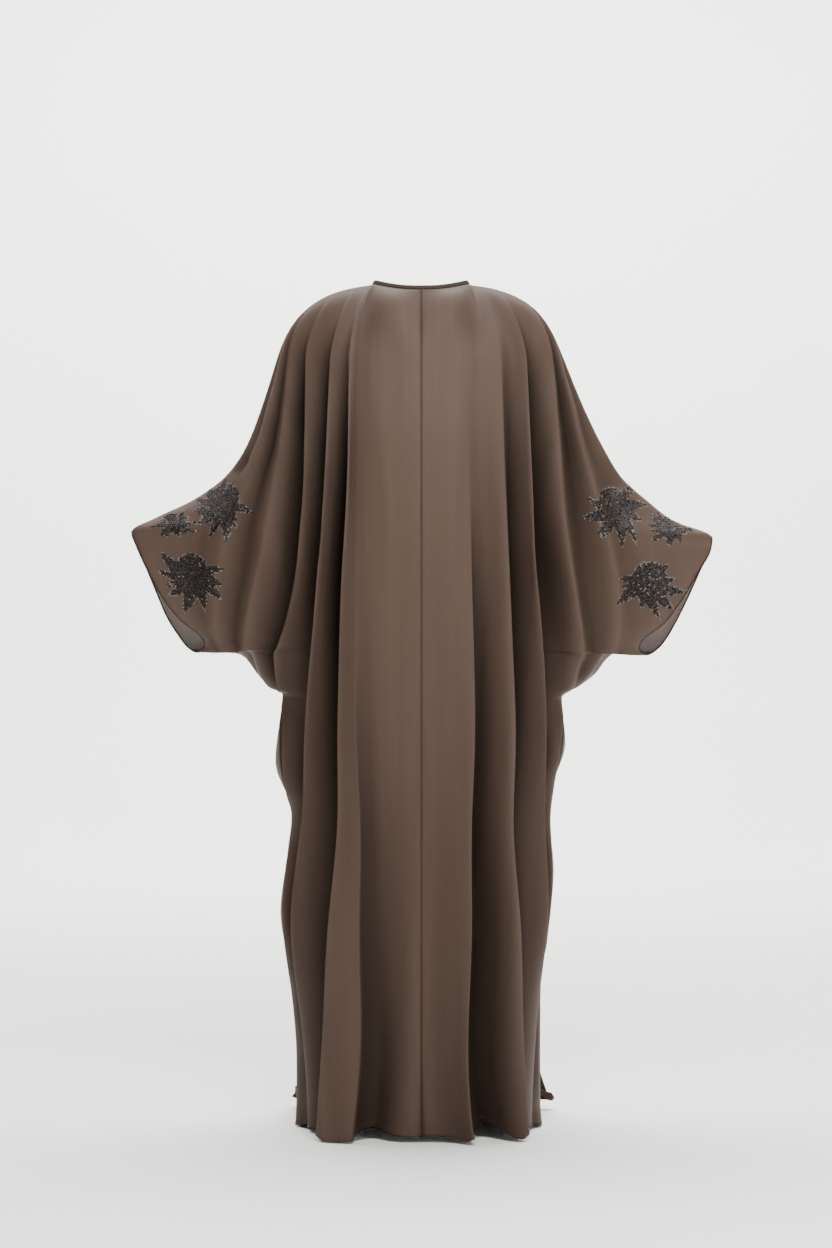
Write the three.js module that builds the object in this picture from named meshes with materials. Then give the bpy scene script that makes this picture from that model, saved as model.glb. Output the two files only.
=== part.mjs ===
// A butterfly-cut abaya in the hollow form that it has when it is worn with both arms held out.
// Each half of the back and of the front is cut in one with its half of the wide sleeve, as the real one is.
// Millimetres, +Z up. The origin is the mid point between the two shoulder points beside the neck, where the
// wearer carries it. -Y is the back, and +X the wearer's right. Heights in the tables are above the floor.
import * as THREE from "three";

// Driving sizes.
const LENGTH = 1440; // shoulder point to hem
const WALL = 1.6; // thickness of the cloth wall
const SEAM_GAP = 0.3; // between two pieces that are sewn together
const NECK_HALF = 84; // shoulder point from the centre line
const NECK_BACK = { depth: 66, height: 1424 }; // middle of the neckline at the back
const NECK_FRONT = { depth: 84, height: 1362 }; // middle of the neckline at the front
const SHOULDER_TIP = { reach: 172, height: 1415 }; // where the shoulder rounds into the arm
const NECK_SHARE = 0.36; // share of a panel's top edge that is neckline
const WING_START = 0.6; // share of a section, from the centre, where the sleeve part begins
const OPEN_SPREAD = 1.35; // how the sleeve part spreads where it stands open, 1 is evenly
const DROP_START = 0.45; // share of a section where it begins to sink or rise to its outer height
const CUFF_GAP = { back: 34, front: 44 }; // half width of the cuff opening, from the arm's plane

// The neck binding and the rolled cuff edge are bands: their width, wall, gap from the cloth that carries
// them, and how far the binding leans in for each millimetre that it rises.
const NECK_BAND = { width: 8, wall: 2, gap: 1, lean: 0.55 };
const CUFF_EDGE = { width: 3, wall: 2.2, gap: 1.4 };

// The line over the shoulder: how late the neckline climbs to the shoulder point, how straight the shoulder
// falls to its tip (1 is a straight line), and the share of it where the cloth begins to turn over the tip.
const NECK_CLIMB = 2.4;
const SHOULDER_STRAIGHT = 0.55;
const TIP_TURN = 0.45;
// The way in which the cloth leaves the middle of the neckline.
const NECK_LEAVING = { sideways: 0.3, out: 0.5, down: 0.85 };
// How far the cloth keeps its direction on its way down from the shoulder, as a share of that way.
const CAP_FLOW = { neck: 0.2, shoulder: 0.36, chest: 0.4, spread: 0.3 };

// The hem of a fold's trough is lifted by a share of its depth. It fades out with height and at the sides.
const HEM_LIFT = { share: 0.25, height: 200, side: 0.2 };

// Grid of the walls.
const SHARP_STEPS = 3; // columns between a crest and a trough with a steep flank
const SOFT_STEPS = 2; // columns between two lines with a soft flank
const SHOULDER_ROWS = 4; // rows over the shoulder
const NORMAL_STEP = 0.002; // share of a section or of the shoulder line over which its direction is taken

// The body form by height: half width and depth of the back and of the front, how square the section is
// (2 is an ellipse), how flat the sleeve hangs and how far forward the arm is.
const FORM = [
  { height: 1310, back_half: 198, back: 112, front_half: 198, front: 108, square: 2.2, thin: 0.9, forward: 0 },
  { height: 1165, back_half: 210, back: 136, front_half: 210, front: 142, square: 2.3, thin: 0.85, forward: 4 },
  { height: 1015, back_half: 215, back: 146, front_half: 215, front: 154, square: 2.4, thin: 0.8, forward: 14 },
  { height: 845, back_half: 218, back: 150, front_half: 218, front: 154, square: 2.5, thin: 0.72, forward: 14 },
  { height: 665, back_half: 222, back: 152, front_half: 222, front: 152, square: 2.5, thin: 1, forward: 4 },
  { height: 530, back_half: 211, back: 154, front_half: 211, front: 154, square: 2.5, thin: 1, forward: 0 },
  { height: 345, back_half: 222, back: 160, front_half: 220, front: 158, square: 2.6, thin: 1, forward: 8 },
  { height: 180, back_half: 202, back: 168, front_half: 206, front: 154, square: 3, thin: 1, forward: 26 },
  { height: 50, back_half: 190, back: 176, front_half: 210, front: 152, square: 4, thin: 1, forward: 46 },
  { height: 0, back_half: 186, back: 180, front_half: 230, front: 158, square: 4.8, thin: 1, forward: 54 },
];

// The sections from the chest to the hem on each side: height at the body, height and reach at the outer
// edge, how far the edge stands open, which it does only at the cuff, and how much further in the back of the
// cuff ends than its front.
const SECTIONS = {
  left: [
    { inner: 1296, outer: 1312, reach: 248, open: 0, short: 0 },
    { inner: 1228, outer: 1236, reach: 272, open: 0, short: 0 },
    { inner: 1166, outer: 1160, reach: 302, open: 0, short: 0 },
    { inner: 1116, outer: 1112, reach: 336, open: 0, short: 0 },
    { inner: 1081, outer: 1070, reach: 394, open: 0, short: 0 },
    { inner: 1048, outer: 1040, reach: 458, open: 0, short: 0 },
    { inner: 1018, outer: 1016, reach: 499, open: 0, short: 0 },
    { inner: 998, outer: 990, reach: 490, open: 0.5, short: 2 },
    { inner: 968, outer: 957, reach: 478, open: 0.85, short: 6 },
    { inner: 926, outer: 914, reach: 461, open: 1, short: 12 },
    { inner: 884, outer: 868, reach: 441, open: 0.95, short: 26 },
    { inner: 850, outer: 832, reach: 417, open: 0.75, short: 44 },
    { inner: 836, outer: 817, reach: 404, open: 0.45, short: 32 },
    { inner: 824, outer: 808, reach: 386, open: 0, short: 0 },
    { inner: 802, outer: 814, reach: 344, open: 0, short: 0 },
    { inner: 782, outer: 803, reach: 308, open: 0, short: 0 },
    { inner: 762, outer: 770, reach: 281, open: 0, short: 0 },
    { inner: 738, outer: 749, reach: 260, open: 0, short: 0 },
    { inner: 710, outer: 737, reach: 236, open: 0, short: 0 },
    { inner: 618, outer: 622, reach: 250, open: 0, short: 0 },
    { inner: 528, outer: 528, reach: 220, open: 0, short: 0 },
    { inner: 440, outer: 440, reach: 233, open: 0, short: 0 },
    { inner: 362, outer: 362, reach: 242, open: 0, short: 0 },
    { inner: 290, outer: 290, reach: 232, open: 0, short: 0 },
    { inner: 215, outer: 215, reach: 220, open: 0, short: 0 },
    { inner: 110, outer: 110, reach: 212, open: 0, short: 0 },
    { inner: 38, outer: 38, reach: 212, open: 0, short: 0 },
    { inner: 0, outer: 0, reach: 214, open: 0, short: 0 },
  ],
  right: [
    { inner: 1296, outer: 1312, reach: 246, open: 0, short: 0 },
    { inner: 1228, outer: 1236, reach: 277, open: 0, short: 0 },
    { inner: 1166, outer: 1160, reach: 314, open: 0, short: 0 },
    { inner: 1116, outer: 1110, reach: 345, open: 0, short: 0 },
    { inner: 1081, outer: 1071, reach: 388, open: 0, short: 0 },
    { inner: 1046, outer: 1036, reach: 434, open: 0, short: 0 },
    { inner: 1012, outer: 1006, reach: 502, open: 0, short: 0 },
    { inner: 992, outer: 984, reach: 499, open: 0.5, short: 2 },
    { inner: 962, outer: 950, reach: 485, open: 0.85, short: 8 },
    { inner: 920, outer: 904, reach: 465, open: 1, short: 16 },
    { inner: 880, outer: 860, reach: 443, open: 0.95, short: 26 },
    { inner: 848, outer: 828, reach: 423, open: 0.75, short: 46 },
    { inner: 834, outer: 812, reach: 407, open: 0.45, short: 32 },
    { inner: 820, outer: 803, reach: 386, open: 0, short: 0 },
    { inner: 803, outer: 813, reach: 348, open: 0, short: 0 },
    { inner: 783, outer: 799, reach: 322, open: 0, short: 0 },
    { inner: 761, outer: 772, reach: 301, open: 0, short: 0 },
    { inner: 738, outer: 750, reach: 272, open: 0, short: 0 },
    { inner: 712, outer: 731, reach: 240, open: 0, short: 0 },
    { inner: 652, outer: 654, reach: 248, open: 0, short: 0 },
    { inner: 585, outer: 585, reach: 228, open: 0, short: 0 },
    { inner: 520, outer: 520, reach: 221, open: 0, short: 0 },
    { inner: 430, outer: 430, reach: 228, open: 0, short: 0 },
    { inner: 318, outer: 318, reach: 216, open: 0, short: 0 },
    { inner: 240, outer: 240, reach: 205, open: 0, short: 0 },
    { inner: 100, outer: 100, reach: 203, open: 0, short: 0 },
    { inner: 36, outer: 36, reach: 203, open: 0, short: 0 },
    { inner: 0, outer: 0, reach: 206, open: 0, short: 0 },
  ],
};

// How far the centre seam of the back and of the front stands out, at each of FOLD_HEIGHTS.
const FOLD_HEIGHTS = [1296, 1100, 1010, 930, 700, 350, 0];
const CENTRE_SEAM = { back: [0, 0, 0, 0, -2, -6, -10], front: [0, 0, 0, 0, 0, -4, -8] };

// The crest and trough lines of each panel's folds, from the centre outwards, at each of FOLD_HEIGHTS. share
// is the line's place in the section, from the centre to the edge. out is how far it stands out of the form,
// and less than 0 in a trough. lap is how much steeper than a soft flank the one on its outer side is.
const FOLDS = {
  back_left: [
    { share: [0.31, 0.265, 0.25, 0.237, 0.211, 0.171, 0.08], out: [0, 0, 0, 0, -5, -18, -34], lap: 0.05 },
    { share: [0.35, 0.31, 0.3, 0.29, 0.275, 0.245, 0.21], out: [0, 1, 2, 3, 4, 4, 2], lap: 0 },
    { share: [0.385, 0.34, 0.345, 0.355, 0.36, 0.41, 0.56], out: [3, 9, 10, 11, 12, 14, 10], lap: 0.08 },
    { share: [0.45, 0.42, 0.42, 0.43, 0.44, 0.49, 0.64], out: [-3, -12, -19, -26, -28, -30, -28], lap: 0.03 },
    { share: [0.53, 0.483, 0.502, 0.517, 0.602, 0.771, 0.8], out: [4, 11, 12, 13, 11, 6, -6], lap: 0.1 },
    { share: [0.59, 0.545, 0.565, 0.585, 0.68, 0.84, 0.87], out: [-6, -30, -33, -35, -28, -12, -12], lap: 0.03 },
    { share: [0.72, 0.65, 0.65, 0.66, 0.86, 0.92, 0.92], out: [4, 11, 11, 11, 4, 2, 4], lap: 0.08 },
    { share: [0.77, 0.7, 0.69, 0.705, 0.91, 0.95, 0.95], out: [-4, -20, -20, -20, -6, -2, -2], lap: 0 },
    { share: [0.825, 0.75, 0.73, 0.775, 0.945, 0.965, 0.965], out: [3, 7, 7, 7, 1, 0, 0], lap: 0 },
    { share: [0.865, 0.79, 0.765, 0.82, 0.96, 0.975, 0.975], out: [-2, -6, -6, -6, 0, 0, 0], lap: 0 },
    { share: [0.905, 0.832, 0.8, 0.88, 0.975, 0.985, 0.985], out: [3, 8, 8, 6, 0, 0, 0], lap: 0 },
    { share: [0.945, 0.885, 0.85, 0.93, 0.985, 0.99, 0.99], out: [-2, -5, -5, -3, 0, 0, 0], lap: 0 },
  ],
  back_right: [
    { share: [0.2, 0.2, 0.2, 0.2, 0.205, 0.178, 0.1], out: [0, 0, 1, 2, 8, 13, 14], lap: 0.07 },
    { share: [0.29, 0.285, 0.28, 0.275, 0.28, 0.26, 0.2], out: [0, -2, -4, -6, -14, -32, -42], lap: 0.03 },
    { share: [0.44, 0.4, 0.402, 0.406, 0.424, 0.451, 0.575], out: [3, 9, 10, 11, 12, 13, 13], lap: 0.05 },
    { share: [0.51, 0.48, 0.485, 0.49, 0.51, 0.53, 0.65], out: [-3, -14, -18, -22, -24, -18, -10], lap: 0.03 },
    { share: [0.66, 0.605, 0.612, 0.624, 0.688, 0.8, 0.8], out: [4, 12, 12, 13, 10, 4, -6], lap: 0.1 },
    { share: [0.71, 0.66, 0.665, 0.68, 0.77, 0.87, 0.86], out: [-6, -34, -36, -34, -20, -10, -10], lap: 0.03 },
    { share: [0.82, 0.73, 0.71, 0.738, 0.88, 0.93, 0.92], out: [4, 9, 9, 9, 3, 1, 3], lap: 0.04 },
    { share: [0.86, 0.77, 0.745, 0.775, 0.92, 0.95, 0.95], out: [-3, -9, -10, -9, -3, -1, -1], lap: 0 },
    { share: [0.9, 0.815, 0.785, 0.85, 0.955, 0.97, 0.97], out: [4, 9, 9, 7, 1, 0, 0], lap: 0 },
    { share: [0.94, 0.87, 0.84, 0.91, 0.975, 0.985, 0.985], out: [-3, -7, -6, -4, 0, 0, 0], lap: 0 },
  ],
  front_left: [
    { share: [0.2, 0.2, 0.2, 0.2, 0.19, 0.16, 0.14], out: [0, 4, 5, 6, 9, 12, 12], lap: 0.06 },
    { share: [0.29, 0.28, 0.28, 0.28, 0.27, 0.26, 0.25], out: [0, -4, -6, -8, -14, -22, -26], lap: 0 },
    { share: [0.4, 0.39, 0.39, 0.39, 0.38, 0.37, 0.37], out: [2, 8, 10, 11, 13, 14, 12], lap: 0.07 },
    { share: [0.5, 0.49, 0.49, 0.49, 0.48, 0.47, 0.48], out: [-2, -14, -18, -22, -27, -28, -24], lap: 0.03 },
    { share: [0.6, 0.6, 0.6, 0.61, 0.64, 0.62, 0.6], out: [4, 11, 12, 12, 13, 14, 24], lap: 0.08 },
    { share: [0.66, 0.66, 0.66, 0.67, 0.72, 0.75, 0.78], out: [-5, -24, -26, -26, -26, -16, -4], lap: 0.03 },
    { share: [0.78, 0.76, 0.74, 0.77, 0.88, 0.91, 0.91], out: [3, 8, 8, 7, 3, 2, 4], lap: 0 },
    { share: [0.86, 0.85, 0.83, 0.87, 0.94, 0.96, 0.96], out: [-2, -5, -5, -4, -2, -2, -2], lap: 0 },
  ],
  front_right: [
    { share: [0.16, 0.16, 0.16, 0.17, 0.17, 0.17, 0.16], out: [0, 3, 4, 5, 8, 11, 12], lap: 0.06 },
    { share: [0.25, 0.25, 0.25, 0.26, 0.26, 0.27, 0.27], out: [0, -4, -5, -7, -12, -22, -28], lap: 0 },
    { share: [0.37, 0.37, 0.37, 0.38, 0.38, 0.38, 0.38], out: [2, 8, 9, 10, 12, 14, 12], lap: 0.07 },
    { share: [0.47, 0.47, 0.47, 0.48, 0.48, 0.49, 0.5], out: [-2, -14, -17, -20, -26, -28, -22], lap: 0.03 },
    { share: [0.58, 0.59, 0.59, 0.6, 0.64, 0.63, 0.62], out: [4, 12, 12, 12, 13, 13, 22], lap: 0.08 },
    { share: [0.65, 0.65, 0.65, 0.66, 0.72, 0.76, 0.79], out: [-5, -26, -27, -27, -26, -14, -4], lap: 0.03 },
    { share: [0.76, 0.75, 0.73, 0.76, 0.87, 0.91, 0.91], out: [3, 8, 8, 7, 3, 2, 4], lap: 0 },
    { share: [0.85, 0.84, 0.82, 0.86, 0.94, 0.96, 0.96], out: [-2, -5, -5, -4, -2, -2, -2], lap: 0 },
  ],
};

const mix = (a, b, t) => a + (b - a) * t;
const clamp01 = (t) => Math.min(1, Math.max(0, t));
const ease = (t) => clamp01(t) ** 2 * (3 - 2 * clamp01(t));

// The value of a curve through knots at x, smooth and with no overshoot.
function track(xs, ys, x) {
  const last = xs.length - 1;
  const rising = xs[last] > xs[0];
  let k = 0;
  while (k < last - 1 && (rising ? x > xs[k + 1] : x < xs[k + 1])) k += 1;
  const slope = (i) => (ys[i + 1] - ys[i]) / (xs[i + 1] - xs[i]);
  const tangent = (i) => {
    if (i === 0) return slope(0);
    if (i === last) return slope(last - 1);
    const [before, after] = [slope(i - 1), slope(i)];
    return before * after <= 0 ? 0 : (2 * before * after) / (before + after);
  };
  const width = xs[k + 1] - xs[k];
  const t = clamp01((x - xs[k]) / width);
  const rest = 1 - t;
  return (
    ys[k] * rest ** 2 * (1 + 2 * t) +
    ys[k + 1] * t ** 2 * (3 - 2 * t) +
    width * t * rest * (tangent(k) * rest - tangent(k + 1) * t)
  );
}

const column = (rows, name) => rows.map((row) => row[name]);
const formAt = (name, height) => track(column(FORM, "height"), column(FORM, name), height);

// One section of a panel: everything that its base curve needs.
function sectionAt(row, face) {
  return {
    ...row,
    half: formAt(`${face}_half`, row.inner),
    depth: formAt(face, row.inner),
    square: formAt("square", row.inner),
    thin: formAt("thin", row.inner),
    forward: formAt("forward", row.inner),
    gap: CUFF_GAP[face],
    short: face === "back" ? row.short : 0,
  };
}

// How much of the way from the body to the outer edge of the sleeve a share of the section has gone.
function sleeveShare(share, open) {
  const t = clamp01((share - WING_START) / (1 - WING_START));
  return mix(ease(t), t ** OPEN_SPREAD, open);
}

// A point of the smooth form: x outwards from the centre, y outwards from the shoulder plane.
function basePoint(section, share) {
  const angle = (share * Math.PI) / 2;
  const power = 2 / section.square;
  const out = sleeveShare(share, section.open);
  const reach = section.reach - section.half - section.short;
  const flat = mix(1, section.thin, out);
  return {
    x: section.half * Math.sin(angle) ** power + out * reach,
    y:
      section.depth * Math.max(0, Math.cos(angle)) ** power * flat +
      section.gap * section.open * out,
  };
}

// The same point moved out of the form by a fold.
function foldedPoint(section, share, offset) {
  const from = basePoint(section, Math.max(0, share - NORMAL_STEP));
  const to = basePoint(section, Math.min(1, share + NORMAL_STEP));
  const long = Math.hypot(to.x - from.x, to.y - from.y);
  const at = basePoint(section, share);
  return {
    x: at.x - ((to.y - from.y) / long) * offset,
    y: at.y + ((to.x - from.x) / long) * offset,
  };
}

// The crest and trough lines that a section crosses, with its two ends.
function foldStops(folds, seam, height) {
  const lines = folds.map((fold) => ({
    share: track(FOLD_HEIGHTS, fold.share, height),
    offset: track(FOLD_HEIGHTS, fold.out, height),
    lap: fold.lap,
  }));
  const centre = { share: 0, offset: track(FOLD_HEIGHTS, seam, height), lap: 0 };
  return [centre, ...lines, { share: 1, offset: 0, lap: 0 }];
}

// The grid columns of a section: its share, its offset and its share with the lap of the folds.
function sectionColumns(section, folds, seam) {
  const stops = foldStops(folds, seam, section.inner);
  const columns = [{ share: 0, lapped: 0, offset: stops[0].offset }];
  for (let k = 0; k + 1 < stops.length; k += 1) {
    const [a, b] = [stops[k], stops[k + 1]];
    const [start, end] = [basePoint(section, a.share), basePoint(section, b.share)];
    const speed = Math.hypot(end.x - start.x, end.y - start.y) / (b.share - a.share);
    const swing = (a.lap * Math.abs(b.offset - a.offset)) / speed;
    const steps = a.lap > 0 ? SHARP_STEPS : SOFT_STEPS;
    for (let i = 1; i <= steps; i += 1) {
      const t = (1 - Math.cos((Math.PI * i) / steps)) / 2;
      const share = mix(a.share, b.share, t);
      columns.push({
        share,
        lapped: share + swing * Math.sin(2 * Math.PI * t),
        offset: mix(a.offset, b.offset, ease(t)),
      });
    }
  }
  return columns;
}

// A point on the neckline and shoulder line, and the direction in which the cloth leaves it.
function topPoint(share, face, neckShare) {
  const neck = face === "back" ? NECK_BACK : NECK_FRONT;
  if (share < neckShare) {
    const angle = ((share / neckShare) * Math.PI) / 2;
    const side = Math.sin(angle);
    const { sideways, out, down } = NECK_LEAVING;
    const height = mix(neck.height, LENGTH, side ** NECK_CLIMB);
    const leaving = new THREE.Vector3(sideways * side * (1 - side), mix(out, 1, side), -down * (1 - side));
    return {
      at: new THREE.Vector3(NECK_HALF * side, neck.depth * Math.cos(angle), height),
      leaving: leaving.normalize(),
    };
  }
  const t = (share - neckShare) / (1 - neckShare);
  const line = (s) => {
    const fall = mix(s ** 3, s, SHOULDER_STRAIGHT);
    return new THREE.Vector3(mix(NECK_HALF, SHOULDER_TIP.reach, s), 0, mix(LENGTH, SHOULDER_TIP.height, fall));
  };
  const along = line(t + NORMAL_STEP).sub(line(t - NORMAL_STEP)).normalize();
  const turn = (ease((t - TIP_TURN) / (1 - TIP_TURN)) * Math.PI) / 2;
  const leaving = new THREE.Vector3(0, Math.cos(turn), 0).addScaledVector(along, Math.sin(turn));
  return { at: line(t), leaving: leaving.normalize() };
}

const rowHeight = (section, share) =>
  mix(section.inner, section.outer, ease((share - DROP_START) / (1 - DROP_START)));

// How far the hem is lifted at a point of a section.
function hemLift(section, share, depth) {
  const near = ease(1 - section.inner / HEM_LIFT.height) * ease((1 - share) / HEM_LIFT.side);
  return HEM_LIFT.share * depth * near;
}

// The rows of points over the shoulder, from the top edge down to the chest section.
function shoulderRows(chest, below, face) {
  const neckShare = chest[neckColumnOf(chest)].share;
  return Array.from({ length: SHOULDER_ROWS }, (_, r) => {
    const t = r / SHOULDER_ROWS;
    return chest.map((point, i) => {
      const top = topPoint(point.share, face, neckShare);
      const gap = top.at.distanceTo(point.at);
      const up = point.at.clone().sub(below[i].at).normalize();
      const beside = ease(Math.abs(point.share - neckShare) / CAP_FLOW.spread);
      const flow = mix(CAP_FLOW.neck, CAP_FLOW.shoulder, beside);
      const curve = new THREE.CubicBezierCurve3(
        top.at,
        top.at.clone().addScaledVector(top.leaving, gap * flow),
        point.at.clone().addScaledVector(up, gap * CAP_FLOW.chest),
        point.at,
      );
      return { share: point.share, forward: point.forward * t, at: curve.getPoint(t) };
    });
  });
}

// The grid of one panel, as points with x outwards, y outwards from the shoulder plane and z the height.
function panelGrid(side, face) {
  const folds = FOLDS[`${face}_${side}`];
  const proudest = Math.max(...folds.map((fold) => fold.out.at(-1)));
  const rows = SECTIONS[side].map((row) => {
    const section = sectionAt(row, face);
    return sectionColumns(section, folds, CENTRE_SEAM[face]).map(({ share, lapped, offset }) => {
      const flat = foldedPoint(section, clamp01(lapped), offset);
      const height = rowHeight(section, share) + hemLift(section, share, proudest - offset);
      const forward = section.forward * sleeveShare(share, 0);
      return { share, forward, at: new THREE.Vector3(flat.x, flat.y, height) };
    });
  });
  return [...shoulderRows(rows[0], rows[1], face), ...rows];
}

// The column that starts at the shoulder point beside the neck.
function neckColumnOf(row) {
  const far = row.map(({ share }) => Math.abs(share - NECK_SHARE));
  return far.indexOf(Math.min(...far));
}

// The grid in the part's own frame, with the outward normal of each point.
function placedGrid(side, face) {
  const mirror = side === "left" ? -1 : 1;
  const facing = face === "back" ? -1 : 1;
  const form = panelGrid(side, face);
  const neckColumn = neckColumnOf(form[0]);
  const grid = form.map((row) =>
    row.map(({ at, forward }) =>
      new THREE.Vector3(
        mirror * (at.x + SEAM_GAP / 2),
        facing * (at.y + SEAM_GAP / 2) + forward,
        at.z - LENGTH,
      ),
    ),
  );
  const last = grid[0].length - 1;
  const sections = SECTIONS[side];
  const normals = grid.map((row, r) =>
    row.map((_, i) => {
      const across = row[Math.min(last, i + 1)].clone().sub(row[Math.max(0, i - 1)]);
      const down = grid[Math.min(grid.length - 1, r + 1)][i].clone().sub(grid[Math.max(0, r - 1)][i]);
      const normal = across.cross(down).multiplyScalar(-mirror * facing).normalize();
      const onShoulder = r === 0 && i >= neckColumn;
      const closed = r < SHOULDER_ROWS || sections[r - SHOULDER_ROWS].open === 0;
      if (i === 0) normal.x = 0;
      if ((i === last && closed) || onShoulder) normal.y = 0;
      if (r === grid.length - 1) normal.z = 0;
      return normal.normalize();
    }),
  );
  return { grid, normals, flip: mirror * facing < 0, neck: grid[0].slice(0, neckColumn + 1) };
}

// A closed wall from a grid of middle points and normals.
function wall(grid, normals, thickness, flip, looped = false) {
  const rows = grid.length;
  const columns = grid[0].length;
  const positions = [];
  for (const out of [0.5, -0.5]) {
    for (let r = 0; r < rows; r += 1) {
      for (let i = 0; i < columns; i += 1) {
        const p = grid[r][i].clone().addScaledVector(normals[r][i], out * thickness);
        positions.push(p.x, p.y, p.z);
      }
    }
  }
  const index = [];
  const quad = (a, b, c, d) => (flip ? index.push(a, c, b, a, d, c) : index.push(a, b, c, a, c, d));
  const outer = (r, i) => r * columns + (i % columns);
  const inner = (r, i) => rows * columns + outer(r, i);
  const spans = looped ? columns : columns - 1;
  for (let r = 0; r + 1 < rows; r += 1) {
    for (let i = 0; i < spans; i += 1) {
      quad(outer(r, i), outer(r + 1, i), outer(r + 1, i + 1), outer(r, i + 1));
      quad(inner(r, i), inner(r, i + 1), inner(r + 1, i + 1), inner(r + 1, i));
    }
    if (!looped) {
      quad(outer(r, 0), inner(r, 0), inner(r + 1, 0), outer(r + 1, 0));
      quad(outer(r, spans), outer(r + 1, spans), inner(r + 1, spans), inner(r, spans));
    }
  }
  for (let i = 0; i < spans; i += 1) {
    quad(outer(0, i), outer(0, i + 1), inner(0, i + 1), inner(0, i));
    quad(outer(rows - 1, i), inner(rows - 1, i), inner(rows - 1, i + 1), outer(rows - 1, i + 1));
  }
  const geometry = new THREE.BufferGeometry();
  geometry.setAttribute("position", new THREE.Float32BufferAttribute(positions, 3));
  geometry.setIndex(index);
  return geometry;
}

const FINISHES = {
  cloth: { color: 0x6e574a, roughness: 0.6, metalness: 0 },
  edging: { color: 0x3a2d26, roughness: 0.7, metalness: 0 },
};

const abaya = new THREE.Group();

function add(name, geometry, finish) {
  const mesh = new THREE.Mesh(geometry, new THREE.MeshStandardMaterial(FINISHES[finish]));
  mesh.name = name;
  abaya.add(mesh);
}

const panels = {};
for (const face of ["back", "front"]) {
  for (const side of ["left", "right"]) {
    const panel = placedGrid(side, face);
    panels[`${face}_${side}`] = panel;
    add(`${face}_${side}`, wall(panel.grid, panel.normals, WALL, panel.flip), "cloth");
  }
}

// A closed band beside a loop of points: it starts a gap away from them and stands the way each lean says.
function band(loop, leans, size) {
  const count = loop.length;
  const square = leans.map((lean, i) => {
    const along = loop[(i + 1) % count].clone().sub(loop[(i + count - 1) % count]).normalize();
    return lean.clone().addScaledVector(along, -lean.dot(along)).normalize();
  });
  const rows = [0, 1].map((t) =>
    loop.map((point, i) => point.clone().addScaledVector(square[i], size.gap + t * size.width)),
  );
  const normals = rows.map((row) =>
    row.map((_, i) => {
      const along = row[(i + 1) % count].clone().sub(row[(i + count - 1) % count]);
      return along.cross(square[i]).normalize();
    }),
  );
  return wall(rows, normals, size.wall, true, true);
}

// The neckline, from the middle of the back round by the right shoulder.
const neckOf = (name) => panels[name].neck.map((point) => point.clone());
const neckLoop = [
  ...neckOf("back_right"),
  ...neckOf("front_right").reverse().slice(1),
  ...neckOf("front_left").slice(1),
  ...neckOf("back_left").reverse().slice(1, -1),
];
for (const point of neckLoop) {
  if (Math.abs(point.x) < SEAM_GAP) point.x = 0;
  if (Math.abs(point.y) < SEAM_GAP) point.y = 0;
}
const neckLeans = neckLoop.map(({ x, y }) =>
  new THREE.Vector3(-x, -y, 0).normalize().multiplyScalar(NECK_BAND.lean).setZ(1),
);
add("neck_binding", band(neckLoop, neckLeans, NECK_BAND), "edging");

// The rolled edge of each cuff, down the back of the opening and up its front.
for (const side of ["left", "right"]) {
  const sections = SECTIONS[side];
  const first = sections.findIndex((row) => row.open > 0) - 1;
  const last = sections.findLastIndex((row) => row.open > 0) + 1;
  const edge = (face, k) => panels[`${face}_${side}`].grid[k + SHOULDER_ROWS];
  const steps = [];
  for (let k = first; k <= last; k += 1) steps.push({ face: "back", k });
  for (let k = last - 1; k > first; k -= 1) steps.push({ face: "front", k });
  const loop = steps.map(({ face, k }) => {
    const point = edge(face, k).at(-1).clone();
    if (k === first || k === last) point.y = (edge("back", k).at(-1).y + edge("front", k).at(-1).y) / 2;
    return point;
  });
  const leans = steps.map(({ face, k }) => {
    const out = edge(face, k).at(-1).clone().sub(edge(face, k).at(-2));
    if (k === first || k === last) out.y = 0;
    return out.normalize();
  });
  add(`cuff_edge_${side}`, band(loop, leans, CUFF_EDGE), "edging");
}

export default abaya;
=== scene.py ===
"""A butterfly-cut abaya of brown crepe in its worn form, seen from behind in a pale studio."""
import math
import bpy
import numpy as np
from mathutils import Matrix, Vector
from mathutils.bvhtree import BVHTree


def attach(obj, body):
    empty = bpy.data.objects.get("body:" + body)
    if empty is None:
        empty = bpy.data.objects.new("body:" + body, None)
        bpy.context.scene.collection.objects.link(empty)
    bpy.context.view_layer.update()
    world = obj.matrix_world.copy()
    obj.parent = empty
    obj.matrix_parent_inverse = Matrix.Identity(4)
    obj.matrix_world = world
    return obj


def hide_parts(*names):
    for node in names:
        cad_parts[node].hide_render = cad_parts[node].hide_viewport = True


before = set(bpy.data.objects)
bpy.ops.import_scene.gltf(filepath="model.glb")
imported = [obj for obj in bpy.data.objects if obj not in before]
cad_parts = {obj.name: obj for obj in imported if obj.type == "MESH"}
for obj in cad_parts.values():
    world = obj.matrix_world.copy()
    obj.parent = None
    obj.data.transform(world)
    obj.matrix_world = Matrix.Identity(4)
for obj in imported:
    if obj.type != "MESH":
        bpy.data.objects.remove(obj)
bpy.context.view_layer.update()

# Millimetres, as the abaya is measured: x outwards from the centre seam, y outwards from the shoulder plane,
# heights above the floor. The origin of the frame is LENGTH above the floor. A share is a place along a
# section, 0 at the centre seam and 1 at the outer edge.
LENGTH = 1440.0
CHEST = 1296.0  # height of the topmost section, below the rows over the shoulder
NECK_HALF = 84.0  # from the centre to the shoulder point
NECK = dict(back=dict(depth=66.0, height=1424.0), front=dict(depth=84.0, height=1362.0))
NECK_SHARE = 0.36  # share of a panel's top edge that is neckline
NECK_CLIMB = 2.4  # how late the neckline climbs to the shoulder point
NECK_LEAVING = (0.3, 0.5, -0.85)  # sideways, outwards and up, as the cloth leaves the neckline
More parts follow.
